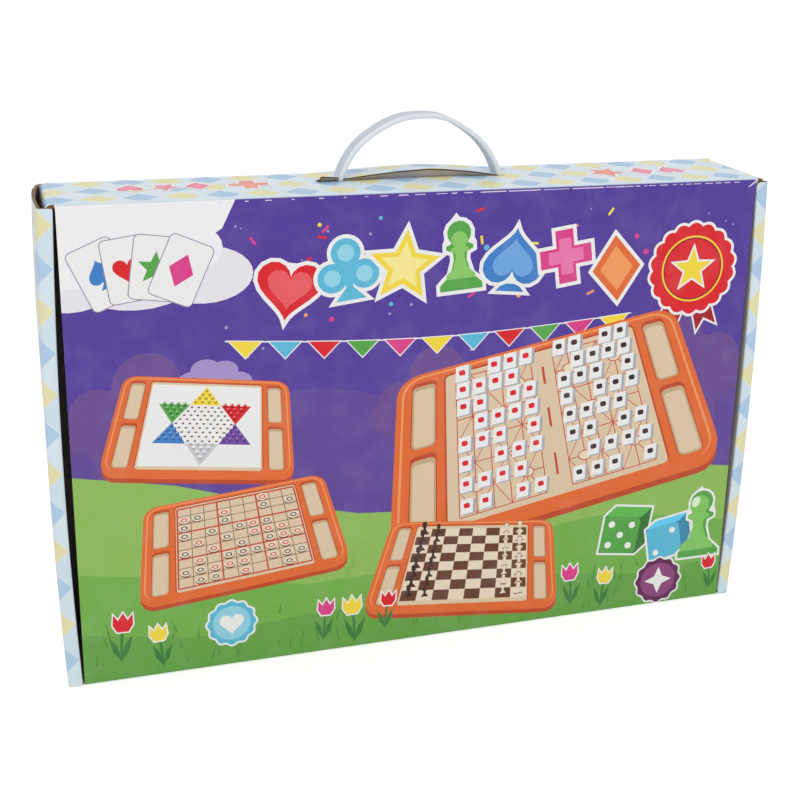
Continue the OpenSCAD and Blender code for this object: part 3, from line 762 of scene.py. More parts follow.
def treeShape(sheet, x, z, size, tone):
    sheet.add([(x - 0.06 * size, z), (x + 0.06 * size, z), (x + 0.04 * size, z + 0.6 * size),
               (x - 0.04 * size, z + 0.6 * size)], tone)
    for dx, dz, r in ((0, 0.95, 0.3), (-0.2, 0.72, 0.24), (0.22, 0.74, 0.23), (0.02, 0.66, 0.26)):
        sheet.disc(x + dx * size, z + dz * size, r * size, tone, count=18)


def cloudShape(sheet, x, z, size, colour):
    lobes = ((0, 0, 1.0, 0.62), (-0.9, -0.1, 0.72, 0.5), (0.95, -0.16, 0.7, 0.42), (-0.35, 0.42, 0.66, 0.5),
             (0.45, 0.34, 0.6, 0.46))
    for dx, dz, wide, high in lobes:
        sheet.disc(x + dx * size, z + dz * size, wide * size, colour, high * size, count=28)


def club(sheet, x, z, size, turn, colour, inner):
    lobes = placed(clubLobes(size), x, z, 1, turn)
    foot = placed(footPoints(size), x, z, 1, turn)
    for grow, tone in ((2.1, "white"), (0, colour)):
        for spot in lobes:
            sheet.disc(*spot, 0.23 * size + grow, tone)
        sheet.disc(x, z, 0.14 * size, tone, count=12)
        sheet.add(grown(foot, grow) if grow else foot, tone)
    for spot in lobes:
        sheet.disc(*spot, 0.13 * size, inner)


def titleShapes(sheet):  # a row of large game shapes along a shallow arc
    size, row = front["titleSize"], front["title"]
    shapes = {"heart": heartPoints(size), "star": starPoints(5, 0.58 * size, 0.27 * size),
              "pawn": pawnPoints(size * 1.15), "spade": spadePoints(size), "cross": crossPoints(size * 0.95),
              "diamond": diamondPoints(0.84 * size, 1.1 * size)}
    for i, (kind, colour, inner, turn) in enumerate(row):
        x = -78 + 31 * i
        z = 219 + 9 * sin(pi * i / (len(row) - 1)) + (2 if i % 2 else -2)
        if kind == "club":
            club(sheet, x, z, size, turn, colour, inner)
            continue
        if kind == "spade":
            sheet.rim(placed(footPoints(size), x, z, 1, turn), 2.1, "white", colour)
        sheet.rim(placed(shapes[kind], x, z, 1, turn), 2.1, "white", colour)
        sheet.add(placed(shapes[kind], x, z, 0.68, turn), inner)


def rosette(sheet, x, z, size):
    for turn in (-24, 18):
        tail = [(-0.2, 0), (0.2, 0), (0.26, -1.5), (0, -1.25), (-0.26, -1.5)]
        sheet.rim(placed(tail, x, z, size, turn), 1.2, "white", "redDark")
    scallops = scallopPoints(2, lambda turn: 0.08 * abs(sin(9 * turn)))
    sheet.rim(placed(scallops, x, z, size), 1.6, "white", "red")
    for radius, tone in ((0.78, "yellow"), (0.74, "redDark"), (0.70, "red")):
        sheet.disc(x, z, radius * size, tone, count=40)
    sheet.rim(placed(starPoints(5, 0.5, 0.2), x, z, size), 1.2, "white", "yellow")


def bunting(sheet, points, colours):
    sheet.line(points, 0.7, "white")
    for i, ((x0, z0), (x1, z1)) in enumerate(zip(points, points[1:])):
        flag = [(blend(x0, x1, share), blend(z0, z1, share) - drop) for share, drop in ((0.1, 0), (0.9, 0), (0.5, 9))]
        sheet.rim(flag, 0.6, "white", colours[i % len(colours)])


def playingCard(sheet, x, z, turn, colour, suit):
    outline = placed(roundedBox(23, 33, 2.6, 4), x, z, 1, turn)
    sheet.rim(outline, 0.5, (150, 140, 165), "white")
    lift = 1 if suit == "spade" else 0
    points = {"heart": heartPoints(15), "star": starPoints(5, 9, 4), "diamond": diamondPoints(13, 18),
              "spade": spadePoints(14)}[suit]
    sheet.add(placed(points, x, z + lift, 1, turn), colour)
    if suit == "spade":
        sheet.add(placed(footPoints(15), x, z, 1, turn), colour)


def badge(sheet, x, z, size, colour, inner, motif):
    scallops = scallopPoints(5, lambda turn: 0.05 * cos(12 * turn))
    sheet.rim(placed(scallops, x, z, size), 1.1, "white", colour)
    sheet.disc(x, z, size * 0.8, inner, count=30)
    sheet.add(placed(motif, x, z, size * 0.62), "white")


front = {
    "sky": ((91, 66, 163), (82, 56, 157)),  # low and high
    "skyFrom": 60, "skyOver": 190,
    "stars": 34, "confetti": 46, "blades": 120,
    "hills": ((-150, 80, 26), (-70, 95, 34), (30, 110, 24), (140, 90, 40)),  # place, half width, height
    "trees": ((-178, 46), (-152, 60), (-124, 44), (-18, 38), (4, 54), (28, 40), (118, 52), (146, 66), (176, 50)),
    "clouds": ((-156, 232, 36, (236, 234, 240)), (-168, 246, 34, (246, 246, 248)),
               (-118, 170, 12, (168, 150, 206)), (96, 158, 15, (150, 130, 196))),
    "cards": ((-172, 24, "blue", "spade"), (-159, 8, "red", "heart"), (-146, -8, "green", "star"),
              (-133, -24, "magenta", "diamond")),
    "flags": ("yellow", "cyan", "red", "green", "magenta"),
    "confettiInks": ("yellow", "cyan", "green", "magenta", "red", "orangeLight"),
    "titleSize": 35,
    "title": (("heart", "red", (240, 92, 96), -9), ("club", "cyan", (150, 218, 238), 7),
              ("star", "yellow", (255, 240, 150), -5), ("pawn", "green", (140, 206, 104), 4),
              ("spade", "blue", (110, 170, 230), -6), ("cross", "magenta", (240, 120, 178), 8),
              ("diamond", "orange", (250, 160, 96), 5)),  # kind, colour, inner colour, turn
    "meadows": (("meadow", 88, ((150, 94), (110, 92), (60, 84), (10, 80), (-40, 84), (-90, 96), (-140, 112)), 122),
                ("meadowDark", 52, ((120, 66), (60, 60), (0, 46), (-70, 44), (-130, 56)), 66),
                ((104, 168, 70), 26, ((140, 22), (80, 30), (10, 22), (-60, 26), (-130, 20)), 30)),
    "dice": ((122, 50, 24, -8, "green", (54, 120, 50), ((-1, -1), (1, 1), (0, 0), (-1, 1), (1, -1))),
             (152, 42, 22, 10, "cyan", (52, 140, 176), ((-1, -1), (1, 1)))),
    "tulips": ((-172, 12, 15, "red", 0.1), (-150, 6, 13, "yellow", -0.15), (-60, 8, 13, "magenta", 0.1),
               (-42, 4, 15, "yellow", -0.1), (-24, 10, 12, "red", 0.15), (92, 8, 14, "magenta", -0.1),
               (112, 4, 13, "yellow", 0.15), (186, 6, 12, "red", -0.15)),
}


def frontArtwork(page):
    sheet = PrintSheet()
    left, right, top, bottom = page["left"], page["right"], page["top"], page["bottom"]

    def sky(x, z):
        share = smooth((z - front["skyFrom"]) / front["skyOver"])
        return tuple(blend(low, high, share) for low, high in zip(*[paint(*tone) for tone in front["sky"]]))
    sheet.add([(left, bottom), (right, bottom), (right, top), (left, top)], sky)

    chosen = random.Random(5)
    for i in range(front["stars"]):  # faint stars of the evening sky
        x, z = chosen.uniform(-120, 185), chosen.uniform(150, 252)
        sheet.disc(x, z, chosen.uniform(0.4, 0.9), (176, 158, 214), count=8)
    for x, wide, high in front["hills"]:
        sheet.disc(x, 92, wide, "silhouetteFar", high + 34, count=40)
    for x, size in front["trees"]:
        treeShape(sheet, x, 112, size, "silhouette")
    for cloud in front["clouds"]:
        cloudShape(sheet, *cloud)
    sheet.add([(left, top), (left, 222), (-150, 226), (-112, 250), (-104, top)], (246, 246, 248))

    for x, turn, colour, suit in front["cards"]:
        playingCard(sheet, x, 232 - abs(turn) * 0.12, turn, colour, suit)
    rosette(sheet, 156, 214, 25)
    bunting(sheet, [(-112 + 21 * i, 190 - 6 * sin(pi * i / 11)) for i in range(12)], front["flags"])
    for i in range(front["confetti"]):
        x, z = chosen.uniform(-100, 130), chosen.uniform(196, 256)
        tone = chosen.choice(front["confettiInks"])
        if chosen.random() < 0.5:
            sheet.disc(x, z, chosen.uniform(1.0, 1.7), tone, count=10)
        else:
            sheet.add(placed(quad(2.4, 0.7), x, z, 1, chosen.uniform(0, 180)), tone)
    titleShapes(sheet)

    for tone, rightEnd, middle, leftEnd in front["meadows"]:
        sheet.add([(left, bottom), (right, bottom), (right, rightEnd), *middle, (left, leftEnd)], tone)
    for i in range(front["blades"]):  # of grass
        x, z = chosen.uniform(-186, 186), chosen.uniform(4, 56)
        tall, lean = chosen.uniform(5, 11), chosen.uniform(-3, 3)
        sheet.add([(x - 0.7, z), (x + 0.7, z), (x + lean, z + tall)], "meadowDeep" if z < 30 else (124, 182, 80))

    for picture, place, wellShare, thick in ((armyPicture, (72, 132, 214, 116, 11, 0.28), 0.27, 7),
                                             (starPicture, (-124, 146, 104, 60, -7, 0.22), 0.28, 4.5),
                                             (numberPicture, (-106, 80, 118, 62, 6, 0.22), 0.28, 4.5),
                                             (checkerPicture, (26, 46, 122, 62, -6, 0.24), 0.26, 4.8)):
        at = lyingBoard(*place)
        picture(sheet, at, trayPicture(sheet, at, wellShare, thick))

    for die in front["dice"]:
        diePicture(sheet, *die)
    sheet.rim(placed(pawnPoints(46), 176, 52), 1.4, "white", "green")
    sheet.add(placed(pawnPoints(38), 174.6, 52.6), (132, 204, 98))
    sheet.disc(172, 66, 2.6, (226, 246, 210), 3.6, turn=-20)
    for tulip in front["tulips"]:
        tulipPicture(sheet, *tulip)
    badge(sheet, 150, 16, 14.5, "plum", (146, 74, 128), starPoints(4, 1, 0.42))
    badge(sheet, -112, 26, 13, "cyan", (150, 214, 234), heartPoints(1.7))
    return sheet


# ---- front: the print on the lid, wrapped over its crest and round its lower fold ----

lid = {
    "skin": 0.12,  # thickness of the printed liner
    "fold": boardT,  # radius of the fold at the bottom
    "crest": 264.4,  # top of the ridge that the folded print makes above the board
    "crestR": 0.56,
    "creaseDrop": 1.0,  # how far below the crest the worn crease runs
    "worn": ((-124, -30, 8, 3), (-30, 26, 3.5, 5), (26, 100, 0.8, 14), (100, 182, 1.4, 4)),  # from, to, gap, dash
    "wornCorner": [(187.8, 260.2), (192, 263.0), (192, 264.2), (187.2, 260.5)],
    "rows": 9,  # rows of points that let the print bend
}
crestEnd = lid["crest"] - lid["crestR"]  # where the print starts to turn over
page = {"left": lidLow.x, "right": lidHigh.x, "bottom": -1.2,
        "top": crestEnd + lid["crestR"] * pi + crestEnd - lidHigh.z - 0.15}


def lidPoint(x, v):  # wraps the flat print over the crest and round the lower fold
    fold, skin, turn = lid["fold"], lid["skin"], lid["crestR"]
    low, radius = lidLow.z + fold, fold + skin
    if v > crestEnd:
        angle = min(pi, (v - crestEnd) / turn)
        down = max(0, v - crestEnd - turn * pi)
        return (x, frontY - skin + turn - turn * cos(angle), crestEnd + turn * sin(angle) - down)
    if v < low:
        angle = (low - v) / radius
        return (x, frontY + fold - radius * cos(angle), low - radius * sin(angle))
    return (x, frontY - skin, v)


def buildPrint(name, sheet, place, finish, levels, lift):  # the levels are lines along which the print can bend
    points, faces, edges = [], [], []
    for outline, _ in sheet.shapes:
        faces.append(list(range(len(points), len(points) + len(outline))))
        points += outline
    for ends in levels:
        edges.append((len(points), len(points) + 1))
        points += [Vector(end) for end in ends]
    flat, _, triangles, _, _, sources = delaunay_2d_cdt(points, edges, faces, 1, 1e-4)
    onPage = [(t, sheet.shapes[max(s)][1]) for t, s in zip(triangles, sources) if 0 in s]
    onPage = [(t, colour) for t, colour in onPage if colour is not None]
    used = sorted({index for triangle, _ in onPage for index in triangle})
    numbers = {old: new for new, old in enumerate(used)}
    mesh = bpy.data.meshes.new(name)
    mesh.from_pydata([Vector(place(*flat[i])) * mm for i in used], [],
                     [[numbers[i] for i in triangle] for triangle, _ in onPage])
    layer = mesh.color_attributes.new("ink", "FLOAT_COLOR", "CORNER")
    corners = [(index, colour) for triangle, colour in onPage for index in triangle]
    for corner, (index, colour) in zip(layer.data, corners):
        corner.color = (*(colour(*flat[index]) if callable(colour) else paint(*colour)), 1)
    piece = bpy.data.objects.new(name, mesh)
    bpy.context.scene.collection.objects.link(piece)
    mesh.materials.append(finish.material)
    useModifier(piece, "SOLIDIFY", thickness=lift * mm, offset=-1.0)
    print(name, len(onPage), "triangles")
    return piece


def wornCrease(sheet):
    at = lid["crest"] - lid["creaseDrop"]
    chosen = random.Random(3)
    for x, stop, gap, dash in lid["worn"]:
        while x < stop:
            length = dash * chosen.uniform(0.5, 1.4)
            tall = chosen.uniform(0.16, 0.3)
            sheet.add([(x, at - tall), (x + length, at - tall * 0.8), (x + length - 0.4, at + tall),
                       (x + 0.5, at + tall * 0.9)], "wear")
            x += length + gap * chosen.uniform(0.4, 1.7)
    sheet.add(lid["wornCorner"], "wear")


artwork = frontArtwork(page)
wornCrease(artwork)
levels = []
for step in range(lid["rows"]):
    for height in (crestEnd + step * lid["crestR"] * pi / (lid["rows"] - 1), lidLow.z + lid["fold"] - 0.35 * step):
        levels.append(((page["left"], height), (page["right"], height)))
lidPrint = buildPrint("lidPrint", artwork, lidPoint, frontInk, levels, lid["skin"] * 0.9)
finishPiece(lidPrint, "lid", angle=30)
print("front printed")


# ---- rolled side walls ----

wall = {
    "pillow": {-1: 2.4, 1: 1.6},  # how far each wall swells at its top end
    "pillowFrom": 110, "pillowOver": 150,  # heights between which the swelling grows
    "inset": 0.15,
    "backFold": 1.6,
    "corner": 2.4,  # radius of the fold between wall and strip
    "innerFold": 0.9,
    "crown": 0.12,  # how far the front strip bulges
    "stripCorner": {-1: 2.4, 1: 3.2},
    "stripTop": {-1: -1.6, 1: -2.1},  # height of the strips' ends, from the carton's top
    "sideTop": {-1: -0.8, 1: -3.2},
    "backTop": {-1: -2.8, 1: -3.2},
    "backFrom": 8, "backOver": 22,  # where along the side the cut end turns to the back's height
    "stripFrom": -24, "stripOver": 9,  # and to the strip's
    "thick": boardT * 0.95,
    "fluted": 0.93,  # the flutes show along this much of the cut ends
    "steps": 100, "rows": 44,
}


def wallParts():
    first, second, third = wall["backFold"], wall["corner"], wall["innerFold"]
    side, strip = backY - frontY - second - first, stripW - second - third
    return [first * pi / 2, side, second * pi / 2, strip, third * pi / 2]


def wallPath(side, z, share):  # outer face in plan: back fold, side, front fold, strip and the strip's inner fold
    outer = cornerX + bowOut(z) - wall["inset"]
    first, second, third = wall["backFold"], wall["corner"], wall["innerFold"]
    backL, sideL, turnL, stripL, _ = wallParts()
    d = share * sum(wallParts())
    if d < backL:
        angle = d / first
        return (side * (outer - first + first * sin(angle)), backY - first + first * cos(angle))
    d -= backL
    if d < sideL:
        t = d / sideL
        swell = wall["pillow"][side] * smooth((z - wall["pillowFrom"]) / wall["pillowOver"])
        return (side * (outer + swell * sin(pi * t) ** 0.8 * (0.75 + 0.25 * t)), backY - first - d)
    d -= sideL
    if d < turnL:
        angle = d / second
        return (side * (outer - second + second * cos(angle)), frontY + second - second * sin(angle))
    d -= turnL
    if d < stripL:
        return (side * (outer - second - d), frontY - wall["crown"] * sin(pi * d / stripL))
    angle = min(pi / 2, (d - stripL) / third)
    return (side * (outer - second - stripL - third * sin(angle)), frontY + third - third * cos(angle))


def wallTop(side, share):  # height of the cut top end, which sags a little and is rounded at the strip's corner
    y = wallPath(side, cartonH, share)[1]
    drop = wall["sideTop"][side]
    drop += (wall["backTop"][side] - drop) * smooth((y - wall["backFrom"]) / wall["backOver"])
    drop += (wall["stripTop"][side] - drop) * smooth((wall["stripFrom"] - y) / wall["stripOver"])
    return cartonH + drop - cornerCut(side, share)


def cornerCut(side, share):
    away = sum(wallParts()) * (1 - share)
    r = wall["stripCorner"][side]
    return 0.0 if away > r else r - sqrt(max(0.0, r * r - (r - away) ** 2))


def cutEnd(name, side, end, height):  # the flutes at a wall's lower (0) or upper (1) end
    def edgePoint(u, inset):
        share = u * wall["fluted"]
        z = height(share, end)
        x, y = wallPath(side, z, share)
        x2, y2 = wallPath(side, z, share + 0.003)
        heading = Vector((x2 - x, y2 - y)).normalized()
        return (x + heading.y * side * inset, y - heading.x * side * inset, z + (0.04 if end else -0.04))
    strip = fluteStrip(name + "End" + str(end), sum(wallParts()) * wall["fluted"], lambda u: edgePoint(u, 0),
                       lambda u: edgePoint(u, wall["thick"]), (0, 0, -1 if end else 1))
    if (side > 0) != (end == 0):
        turnFaces(strip)
    return strip


def buildWall(name, side, finish):
    length, steps = sum(wallParts()), wall["steps"]

    def height(u, v):
        low = cornerCut(side, u)
        return low + (wallTop(side, u) - low) * v

    def place(u, v):
        z = height(u, v)
        return (*wallPath(side, z, u), z)
    shell = curvedSheet(name + "RolledWall", steps, wall["rows"], place, lambda u, v: (length * (1 - u), height(u, v)))
    count = len(shell.data.vertices)
    if side > 0:
        turnFaces(shell)
    shell.data.materials.append(finish.material)
    thicken(shell, wall["thick"], kraftLiner, kraftLiner)
    fluted = [max(i % count % (steps + 1) for i in face.vertices) <= wall["fluted"] * steps
              for face in shell.data.polygons]
    removeFaces(shell, lambda face: fluted[face.index] and face.material_index == 2 and abs(face.normal.z) > 0.7)
    shell = joinPieces([shell] + [cutEnd(name, side, end, height) for end in (0, 1)], name + "RolledWall")
    finishPiece(shell, "carton", [name + "_outer_wall", name + "_roll_strip"], angle=40)


buildWall("left", -1, leftPrint)
buildWall("right", 1, rightPrint)
print("side walls rolled")


# ---- top, back and bottom: one printed sheet that is folded round the carton ----

top = {
    "frontY": -33.25,  # the sheet starts behind the lid's crest
    "slitY": 3.0, "slitW": 0.5, "slitHalf": 52.8, "peakX": 8.0,
    "rise": 5.4, "riseBack": 3.0, "frontRise": 0.8,
    "sag": 1.9, "sagTo": 190,  # how far the back fold has sunk at the left end, and where it hasn't
    "bend": 3.2, "crush": 0.65, "fold": 1.6,
    "endFront": {-1: 196.6, 1: 198.4}, "endBack": {-1: 198.9, 1: 199.2}, "endBottom": 198.0,
    "lipLow": 2.05,  # where the crushed front edge ends, below the top
    "lipEnds": (-192.3, 194.0),
    "lipRound": 0.7,  # share of the front edge that is rounded
    "cutRise": 0.55, "cutLong": 30, "cutDeep": 8.0,  # how far the sheet stands open at the slit's left end
    "cutRows": 3,
    "skew": 0.066, "skewFrom": 0.9,  # the pattern is printed a little askew
    "crushedEdge": 1.0,  # height of the cut edge behind the slit
    "linerDeep": 1.6,
}
slit = top["slitY"]
columns = 210
reach = 205.0  # half the sheet's flat width at the top
lastFull = 98  # the last column, counted from the middle, that runs straight down the back
lastFolded = 100
slotColumns = (99, 100)
insets = {99: 7.3, 100: 5.1, 101: 4.2, 102: 3.4, 103: 2.7, 104: 2.1, 105: 1.5}  # of the columns near a side wall


def hump(x):  # 0 at the slit's ends and 1 at its peak, nearly straight between
    half, peak = top["slitHalf"], top["peakX"]
    if abs(x) >= half:
        return 0.0
    share = (x + half) / (peak + half) if x < peak else (half - x) / (half - peak)
    return 0.35 * share + 0.65 * sin(pi / 2 * share)


def openEnd(x, y):  # the sheet behind the slit has sprung up at its left end
    inward = x + top["slitHalf"]
    if inward < 0 or y < slit - 0.01:
        return 0.0
    return top["cutRise"] * (1 - smooth(inward / top["cutLong"])) * (1 - smooth((y - slit) / top["cutDeep"]))


def topHeight(x, y):
    depth = (y - frontY) / (backY - frontY)
    drop = top["sag"] * smooth(depth) * max(0, top["sagTo"] - x) / 390
    if y < slit:
        lift = top["frontRise"] * smooth((y - top["frontY"]) / (slit - top["frontY"]))
    else:
        lift = top["rise"] + (top["riseBack"] - top["rise"]) * (y - slit) / (backY - slit)
    return cartonH - drop + lift * max(hump(x), openEnd(x, y))


def topEnd(side, y):
    share = (y - frontY) / (backY - frontY)
    return top["endFront"][side] + (top["endBack"][side] - top["endFront"][side]) * share


def bentOver(x, y, z, end=None, down=1):  # past the bend the sheet turns into the rolled wall
    side = 1 if x > 0 else -1
    bend = top["bend"]
    start = (end or topEnd(side, y)) - bend
    past = abs(x) - start
    if past <= 0:
        return (x, y, z)
    angle = min(past / bend, pi / 2)
    fall = bend * (1 - cos(angle)) + max(0, past - bend * pi / 2)
    return (side * (start + bend * sin(angle)), y, z - down * fall)


def tabHeights():  # the slots in the back follow the ends of the locking tabs
    spots = [v.co.z / mm for v in frame["nodes"]["left_inner_wall"].data.vertices if v.co.y / mm > backY - 0.5]
    low = [z for z in spots if z < cartonH / 2]
    high = [z for z in spots if z > cartonH / 2]
    return [(min(part) - 0.3, max(part) + 0.3) for part in (low, high)]


def even(start, stop, count):
    return [start + (stop - start) * i / (count - 1) for i in range(count)]


def wrapRows():  # kind of row, its place on the kind's own path, and its place along the flat sheet
    fold = top["fold"]
    quarter = fold * pi / 2
    rows = [("top", y, y) for y in even(top["frontY"] + top["crush"], slit - top["slitW"], 11)]
    rows += [("top", y, y) for y in even(slit, backY - fold, 13)]
    rows += [("backFold", a, backY - fold + quarter * a) for a in (0.25, 0.5, 0.75)]
    tabs = tabHeights()
    heights = even(cartonH - fold, 220, 6)[:-1] + [tabs[1][1], 207, 197.5, 188, tabs[1][0]]
    heights += even(170, 95, 6) + [tabs[0][1], 77, 67.5, 58, tabs[0][0], 38, 26, 14, fold]
    start = backY - fold + quarter
    rows += [("back", z, start + cartonH - fold - z) for z in heights]
    start += cartonH - 2 * fold
    rows += [("bottomFold", a, start + quarter * a) for a in (0.25, 0.5, 0.75)]
    rows += [("bottom", y, start + quarter + backY - fold - y) for y in even(backY - fold, frontY + boardT + 0.15, 10)]
    return rows


def columnX(column):
    return reach * column / (columns / 2)


def backX(column, z):
    if abs(column) <= lastFull:
        return columnX(column)
    return (1 if column > 0 else -1) * (cornerX + bowOut(z) - insets[abs(column)])


def wrapPoint(kind, value, column):
    x, fold = columnX(column), top["fold"]
    if kind == "top":
        return bentOver(x, value, topHeight(x, value))
    if kind == "bottom":
        return bentOver(x, value, 0, top["endBottom"], -1)
    turn = value * pi / 2
    if kind == "backFold":
        y, z = backY - fold + fold * sin(turn), topHeight(x, backY) - fold + fold * cos(turn)
        bent = bentOver(x, backY - fold, z)
        return (bent[0] + (backX(column, z) - bent[0]) * value, y, z if abs(column) <= lastFolded else bent[2])
    if kind == "bottomFold":
        y, z = backY - fold + fold * cos(turn), fold - fold * sin(turn)
        return (backX(column, z), y, z)
    share = smooth((value - cartonH + 60) / 60)
    if abs(column) > lastFolded and value > cartonH - 2 * fold:
        value = cartonH - 0.5
    return (backX(column, value), backY, value + (topHeight(x, backY) - cartonH) * share)


def buildWrap():
    rows = wrapRows()
    last = len(rows) - 1
    kinds = [row[0] for row in rows]

    def column(u):
        return round(u * columns) - columns // 2

    def place(u, v):
        return wrapPoint(*rows[round(v * last)][:2], column(u))

    def flatPlace(u, v):
        path = rows[round(v * last)][2]
        return (columnX(column(u)) + top["skew"] * (min(path, backY) - top["skewFrom"]), path)
    sheet = curvedSheet("cartonWrap", columns, last, place, flatPlace)
    tabRows = [sorted(i for i, row in enumerate(rows) for z in pair if row[0] == "back" and abs(row[1] - z) < 0.01)
               for pair in tabHeights()]
    slitRow = rows.index(("top", slit, slit)) - 1

    def cutAway(polygon):  # the slit, its open end, the corners of the folds and the slots for the tabs
        across = [abs(i % (columns + 1) - columns // 2) for i in polygon.vertices]
        along = [i // (columns + 1) for i in polygon.vertices]
        low, high = min(along), max(along)
        middle = sum(sheet.data.vertices[i].co.x for i in polygon.vertices) / 4 / mm
        if low == slitRow and abs(middle) < top["slitHalf"]:
            return True
        if slitRow <= low <= slitRow + top["cutRows"] and abs(middle + top["slitHalf"]) < 1:
            return True
        if any(kinds[k] in ("backFold", "bottomFold") for k in along) and min(across) >= lastFolded:
            return True
        inSlot = any(first <= low and high <= second for first, second in tabRows)
        return inSlot and (min(across), max(across)) == slotColumns
    removeFaces(sheet, cutAway)
    sheet.data.materials.append(topPrint.material)
    thicken(sheet, boardT * 0.96, greyLiner, kraftLiner)
    removeFaces(sheet, lambda face: face.material_index == 2 and face.normal.y < -0.7
                and abs(face.center.y - slit * mm) < 0.3 * mm and face.center.z > 0.25)
    return sheet


def frontEdge(u, v):  # the printed liner rolls down over the crushed front edge
    start, stop = top["lipEnds"]
    x, r = start + (stop - start) * u, top["crush"]
    if v < top["lipRound"]:
        angle = pi / 2 * v / top["lipRound"]
        return (x, top["frontY"] + r - r * sin(angle), cartonH - r + r * cos(angle))
    past = (v - top["lipRound"]) / (1 - top["lipRound"])
    return (x, top["frontY"] - 0.03, cartonH - r - (top["lipLow"] - r) * past)


def slitEdge(u, drop):
    x = (2 * u - 1) * top["slitHalf"]
    return (x, slit + 0.02, topHeight(x, slit) - drop)


def linerUnderSlit(u, v):  # the grey liner that has come away below the raised edge
    x, y, high = slitEdge(u, top["crushedEdge"])
    low = min(high, cartonH - 1.0)
    return (x, y + top["linerDeep"] * v, high + (low - high) * v)


wrapSheet = buildWrap()
lip = curvedSheet("topLip", 120, 10, frontEdge,
                  lambda u, v: ((2 * u - 1) * lidHigh.x, top["frontY"] + 0.8 - 2.5 * v))
turnFaces(lip)
lip.data.materials.append(topPrint.material)
thicken(lip, 0.25, kraftLiner, kraftLiner)
rearFlutes = fluteStrip("slitFlutes", 2 * top["slitHalf"], lambda u: slitEdge(u, 0.0),
                        lambda u: slitEdge(u, top["crushedEdge"]), (0, 1, 0), pitch=2.1)
turnFaces(rearFlutes)
slitLiner = curvedSheet("slitLiner", 60, 3, linerUnderSlit)
slitLiner.data.materials.append(greyLiner.material)
cartonWrap = joinPieces([wrapSheet, lip, rearFlutes, slitLiner], "cartonWrap")
finishPiece(cartonWrap, "carton", ["top_wall", "left_top_tab", "right_top_tab", "back_panel",
                                                    "bottom_wall", "left_bottom_tab", "right_bottom_tab"])
print("carton folded")


topMotifs = {
    "rim": 1.5,
    "lift": 0.15,  # the coloured print lies this far over the top sheet
    "half": (190, 31),
    "pink": (228, 88, 132), "orange": (232, 112, 82),
    "row": [("heart", "pink", -154, 5, 14, 22), ("star", "pink", -136, 5, 15, 22),
            ("diamond", "pink", -119, 5, 14, 22), ("cross", "orange", -92, 4, 22, 25),
            ("star", "orange", 114, 0, 22, 25), ("diamond", "pink", 137, 0, 14, 21),
            ("heart", "pink", 155, 0, 15, 21)],  # kind, colour, place, width and depth
}


def topPicture():  # a row of small shapes that is read from behind
    sheet = PrintSheet()
    wide, deep = topMotifs["half"]
    sheet.add([(-wide, -deep), (wide, -deep), (wide, deep), (-wide, deep)], None)
    shapes = {"heart": heartPoints(1), "star": starPoints(5, 0.55, 0.26), "cross": crossPoints(1.05),
              "diamond": diamondPoints(1, 1)}
    for kind, tone, x, y, across, along in topMotifs["row"]:
        outline, inner = [[(x - px * across * size, y - py * along * size) for px, py in shapes[kind]]
                          for size in (1, 0.5)]
        sheet.rim(outline, topMotifs["rim"], "white", topMotifs[tone])
        sheet.add(inner, shaded(topMotifs[tone], 1.09))
    levels = [((-wide, y), (wide, y)) for y in range(-30, 31, 3)]
    lift = topMotifs["lift"]
    piece = buildPrint("topMotifs", sheet, lambda x, y: (x, y, topHeight(x, y) + lift), frontInk, levels, lift * 0.7)
    finishPiece(piece, "carton", angle=30)


topPicture()


# ---- strap handle ----

strap = {
    "centreX": 4.2, "centreDrop": 14.5,  # of the arch, from the carton's middle and top
    "radius": 50.0,
    "width": 14.0, "edgeT": 2.8, "webT": 1.6, "bead": 2.2,
    "web": (200, 208, 218),
    "anchor": (2.8, 5.0),  # width and height
    "anchorInset": 3.2,
}
strapMiddle = (strapLow.y + strapHigh.y) / 2


def strapProfile():  # closed outline: distance from the arch's outer face, and across the strap
    half, edge, bead = strap["width"] / 2, strap["edgeT"], strap["bead"]
    step = (edge - strap["webT"]) / 2
    outer = [(0.5, -half), (0.08, -half + 0.35), (0.0, -half + bead * 0.5), (0.1, -half + bead - 0.3),
             (step, -half + bead + 0.25), (step, 0.0)]
    outer += [(d, -w) for d, w in outer[-2::-1]]
    return outer + [(edge - d, -w) for d, w in outer]


def strapPoint(u, v):
    profile = strapProfile()
    drop, w = profile[round(v * len(profile)) % len(profile)]
    high = cartonH - strap["centreDrop"]
    low = degrees(asin((strapLow.z + 3 - high) / (strap["radius"] - 1.4)))
    angle = radians(180 - low - (180 - 2 * low) * u)
    kink = 0.35 * sin(5 * angle + 0.6) + 0.2 * sin(11 * angle)
    r = strap["radius"] - drop + kink * sin(angle) ** 2 - 0.3
    return (strap["centreX"] + r * cos(angle), strapMiddle + w, high + r * sin(angle))


def strapAnchor(side):
    bpy.ops.object.select_all(action="DESELECT")
    wide, tall = strap["anchor"]
    x = strap["centreX"] + side * (strap["radius"] - strap["anchorInset"])
    bpy.ops.mesh.primitive_cube_add(size=1, location=(x * mm, strapMiddle * mm, (strapLow.z + tall / 2) * mm))
    anchor = bpy.context.active_object
    anchor.scale = (wide * mm, (strapHigh.y - strapLow.y) * mm, tall * mm)
    bpy.ops.object.transform_apply(location=True, rotation=False, scale=True)
    anchor.select_set(False)
    useModifier(anchor, "BEVEL", width=1.1 * mm, segments=3)
    return anchor


